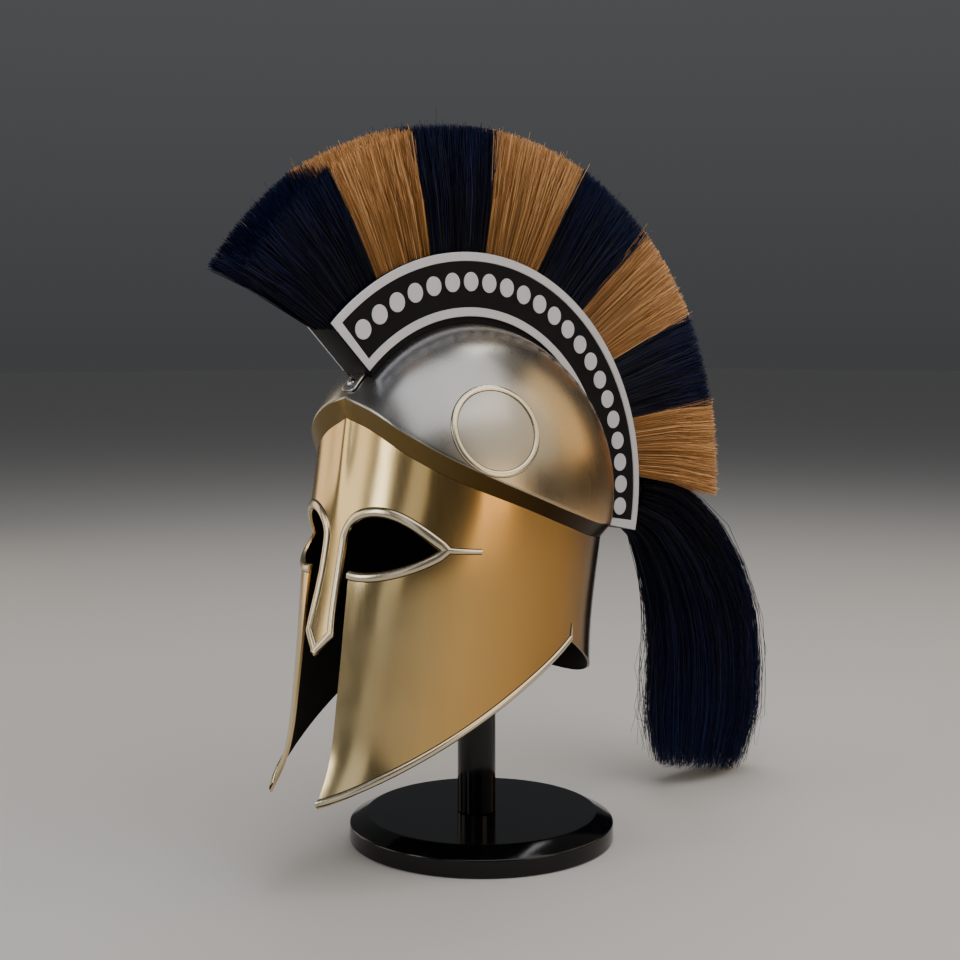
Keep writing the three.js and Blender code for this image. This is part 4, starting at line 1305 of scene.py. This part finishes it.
class HELMET_OT_stand(bpy.types.Operator):
    """Builds the display stand"""
    bl_idname = "helmet.stand"
    bl_label = "Stand"

    def execute(self, context):
        finish_piece(coated(stand_foot(), "lacquer"), ["stand_base"], shift=False)
        finish_piece(coated(stand_post(), "lacquer"), ["stand_post"], shift=False)
        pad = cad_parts["stand_pad"]
        pad.data.materials.clear()
        pad.data.materials.append(MATERIALS["lacquer"])
        return {"FINISHED"}


def add_softbox(name, azimuth, elevation, distance, size, power, colour):
    """Area light that looks at the helmet. Azimuth 0 stands before it and 90 on its left."""
    target = Vector((0, 0, 0.28))
    a, e = math.radians(azimuth), math.radians(elevation)
    place = target + distance * Vector((
        math.sin(a) * math.cos(e), -math.cos(a) * math.cos(e), math.sin(e)))
    light = bpy.data.lights.new(name, "AREA")
    light.shape = "RECTANGLE"
    light.size, light.size_y = size
    light.energy = power
    light.color = hex_colour(colour)[:3]
    lamp = bpy.data.objects.new(name, light)
    lamp.location = place
    lamp.rotation_euler = (target - place).to_track_quat("-Z", "Y").to_euler()
    bpy.context.scene.collection.objects.link(lamp)


class HELMET_OT_stage(bpy.types.Operator):
    """Sets the floor, the lights and the camera"""
    bl_idname = "helmet.stage"
    bl_label = "Stage"

    def execute(self, context):
        stage = context.scene.helmet_stage
        deselect()
        bpy.ops.mesh.primitive_plane_add(size=40, location=(0, 0, -0.0005))
        floor = context.object
        floor.name = "floor"
        material, tree, shader = new_material("pale floor")
        shader.inputs["Base Color"].default_value = stage.floor_colour
        shader.inputs["Roughness"].default_value = 0.75
        floor.data.materials.append(material)
        power = stage.light_power
        add_softbox("overhead", 80, 66, 2.0, (2.4, 1.9), power, "#F4F6FF")
        add_softbox("side key", 112, 32, 2.0, (2.2, 1.5), power * 0.42, "#FFF6EA")
        add_softbox("rear side", 158, 26, 2.0, (1.0, 1.3), power * 0.22, "#FFD9A0")
        add_softbox("warm side", 98, 2, 1.9, (0.9, 0.8), power * 0.2, "#FFE2BC")
        add_softbox("front strip", -9, 19, 2.0, (0.5, 1.0), power * 0.3, "#FFFFFF")
        add_softbox("front fill", -38, 8, 2.0, (0.8, 1.4), power * 0.26, "#FFF2E0")
        add_softbox("far side", -78, 8, 2.0, (0.8, 1.4), power * 0.2, "#FFE8CC")
        add_softbox("camera fill", 28, 12, 2.0, (0.7, 1.2), power * 0.07, "#FFFFFF")
        add_softbox("back", 215, 62, 2.2, (1.2, 1.0), power * 0.6, "#FFFFFF")
        world = bpy.data.worlds.new("studio")
        world.use_nodes = True
        background = world.node_tree.nodes["Background"]
        # The wall of the room darkens towards the horizon, where it meets the floor
        place = add(world.node_tree, "ShaderNodeTexCoord")
        height = add(world.node_tree, "ShaderNodeSeparateXYZ", [(place.outputs["Generated"], 0)])
        wall = add(world.node_tree, "ShaderNodeValToRGB", [(height.outputs["Z"], "Fac")],
                   ((0.0, hex_colour("#8D8F92")), (0.35, hex_colour("#B9BBBF"))))
        world.node_tree.links.new(wall.outputs["Color"], background.inputs["Color"])
        background.inputs["Strength"].default_value = 0.2
        context.scene.world = world
        camera = bpy.data.cameras.new("camera")
        camera.lens = stage.lens
        camera.sensor_width = 36
        camera.clip_end = 50
        eye = bpy.data.objects.new("camera", camera)
        eye.location = (0.8692, -0.7681, 0.3705)
        eye.rotation_euler = (math.radians(90 - 4.898), 0, math.radians(48.59))
        context.scene.collection.objects.link(eye)
        context.scene.camera = eye
        return {"FINISHED"}


class HELMET_PT_panel(bpy.types.Panel):
    """Lists the helmet's pieces and settings"""
    bl_idname = "HELMET_PT_panel"
    bl_label = "Crested Helmet"
    bl_space_type = "VIEW_3D"
    bl_region_type = "UI"
    bl_category = "Helmet"

    def draw(self, context):
        scene = context.scene
        for group in (scene.helmet_sheet, scene.helmet_plume, scene.helmet_stage):
            for name in group.__annotations__:
                self.layout.prop(group, name)
        for operator in OPERATORS:
            self.layout.operator(operator.bl_idname)


OPERATORS = (
    HELMET_OT_sheet, HELMET_OT_trims, HELMET_OT_crest, HELMET_OT_plume, HELMET_OT_stand,
    HELMET_OT_stage)
CLASSES = (HelmetSheetSettings, HelmetPlumeSettings, HelmetStageSettings, *OPERATORS, HELMET_PT_panel)


def register():
    for cls in CLASSES:
        bpy.utils.register_class(cls)
    bpy.types.Scene.helmet_sheet = PointerProperty(type=HelmetSheetSettings)
    bpy.types.Scene.helmet_plume = PointerProperty(type=HelmetPlumeSettings)
    bpy.types.Scene.helmet_stage = PointerProperty(type=HelmetStageSettings)


def unregister():
    del bpy.types.Scene.helmet_stage
    del bpy.types.Scene.helmet_plume
    del bpy.types.Scene.helmet_sheet
    for cls in reversed(CLASSES):
        bpy.utils.unregister_class(cls)


def main():
    register()
    make_materials()
    bpy.ops.helmet.sheet()
    bpy.ops.helmet.trims()
    bpy.ops.helmet.crest()
    bpy.ops.helmet.plume()
    bpy.ops.helmet.stand()
    bpy.ops.helmet.stage()


if __name__ == "__main__":
    main()
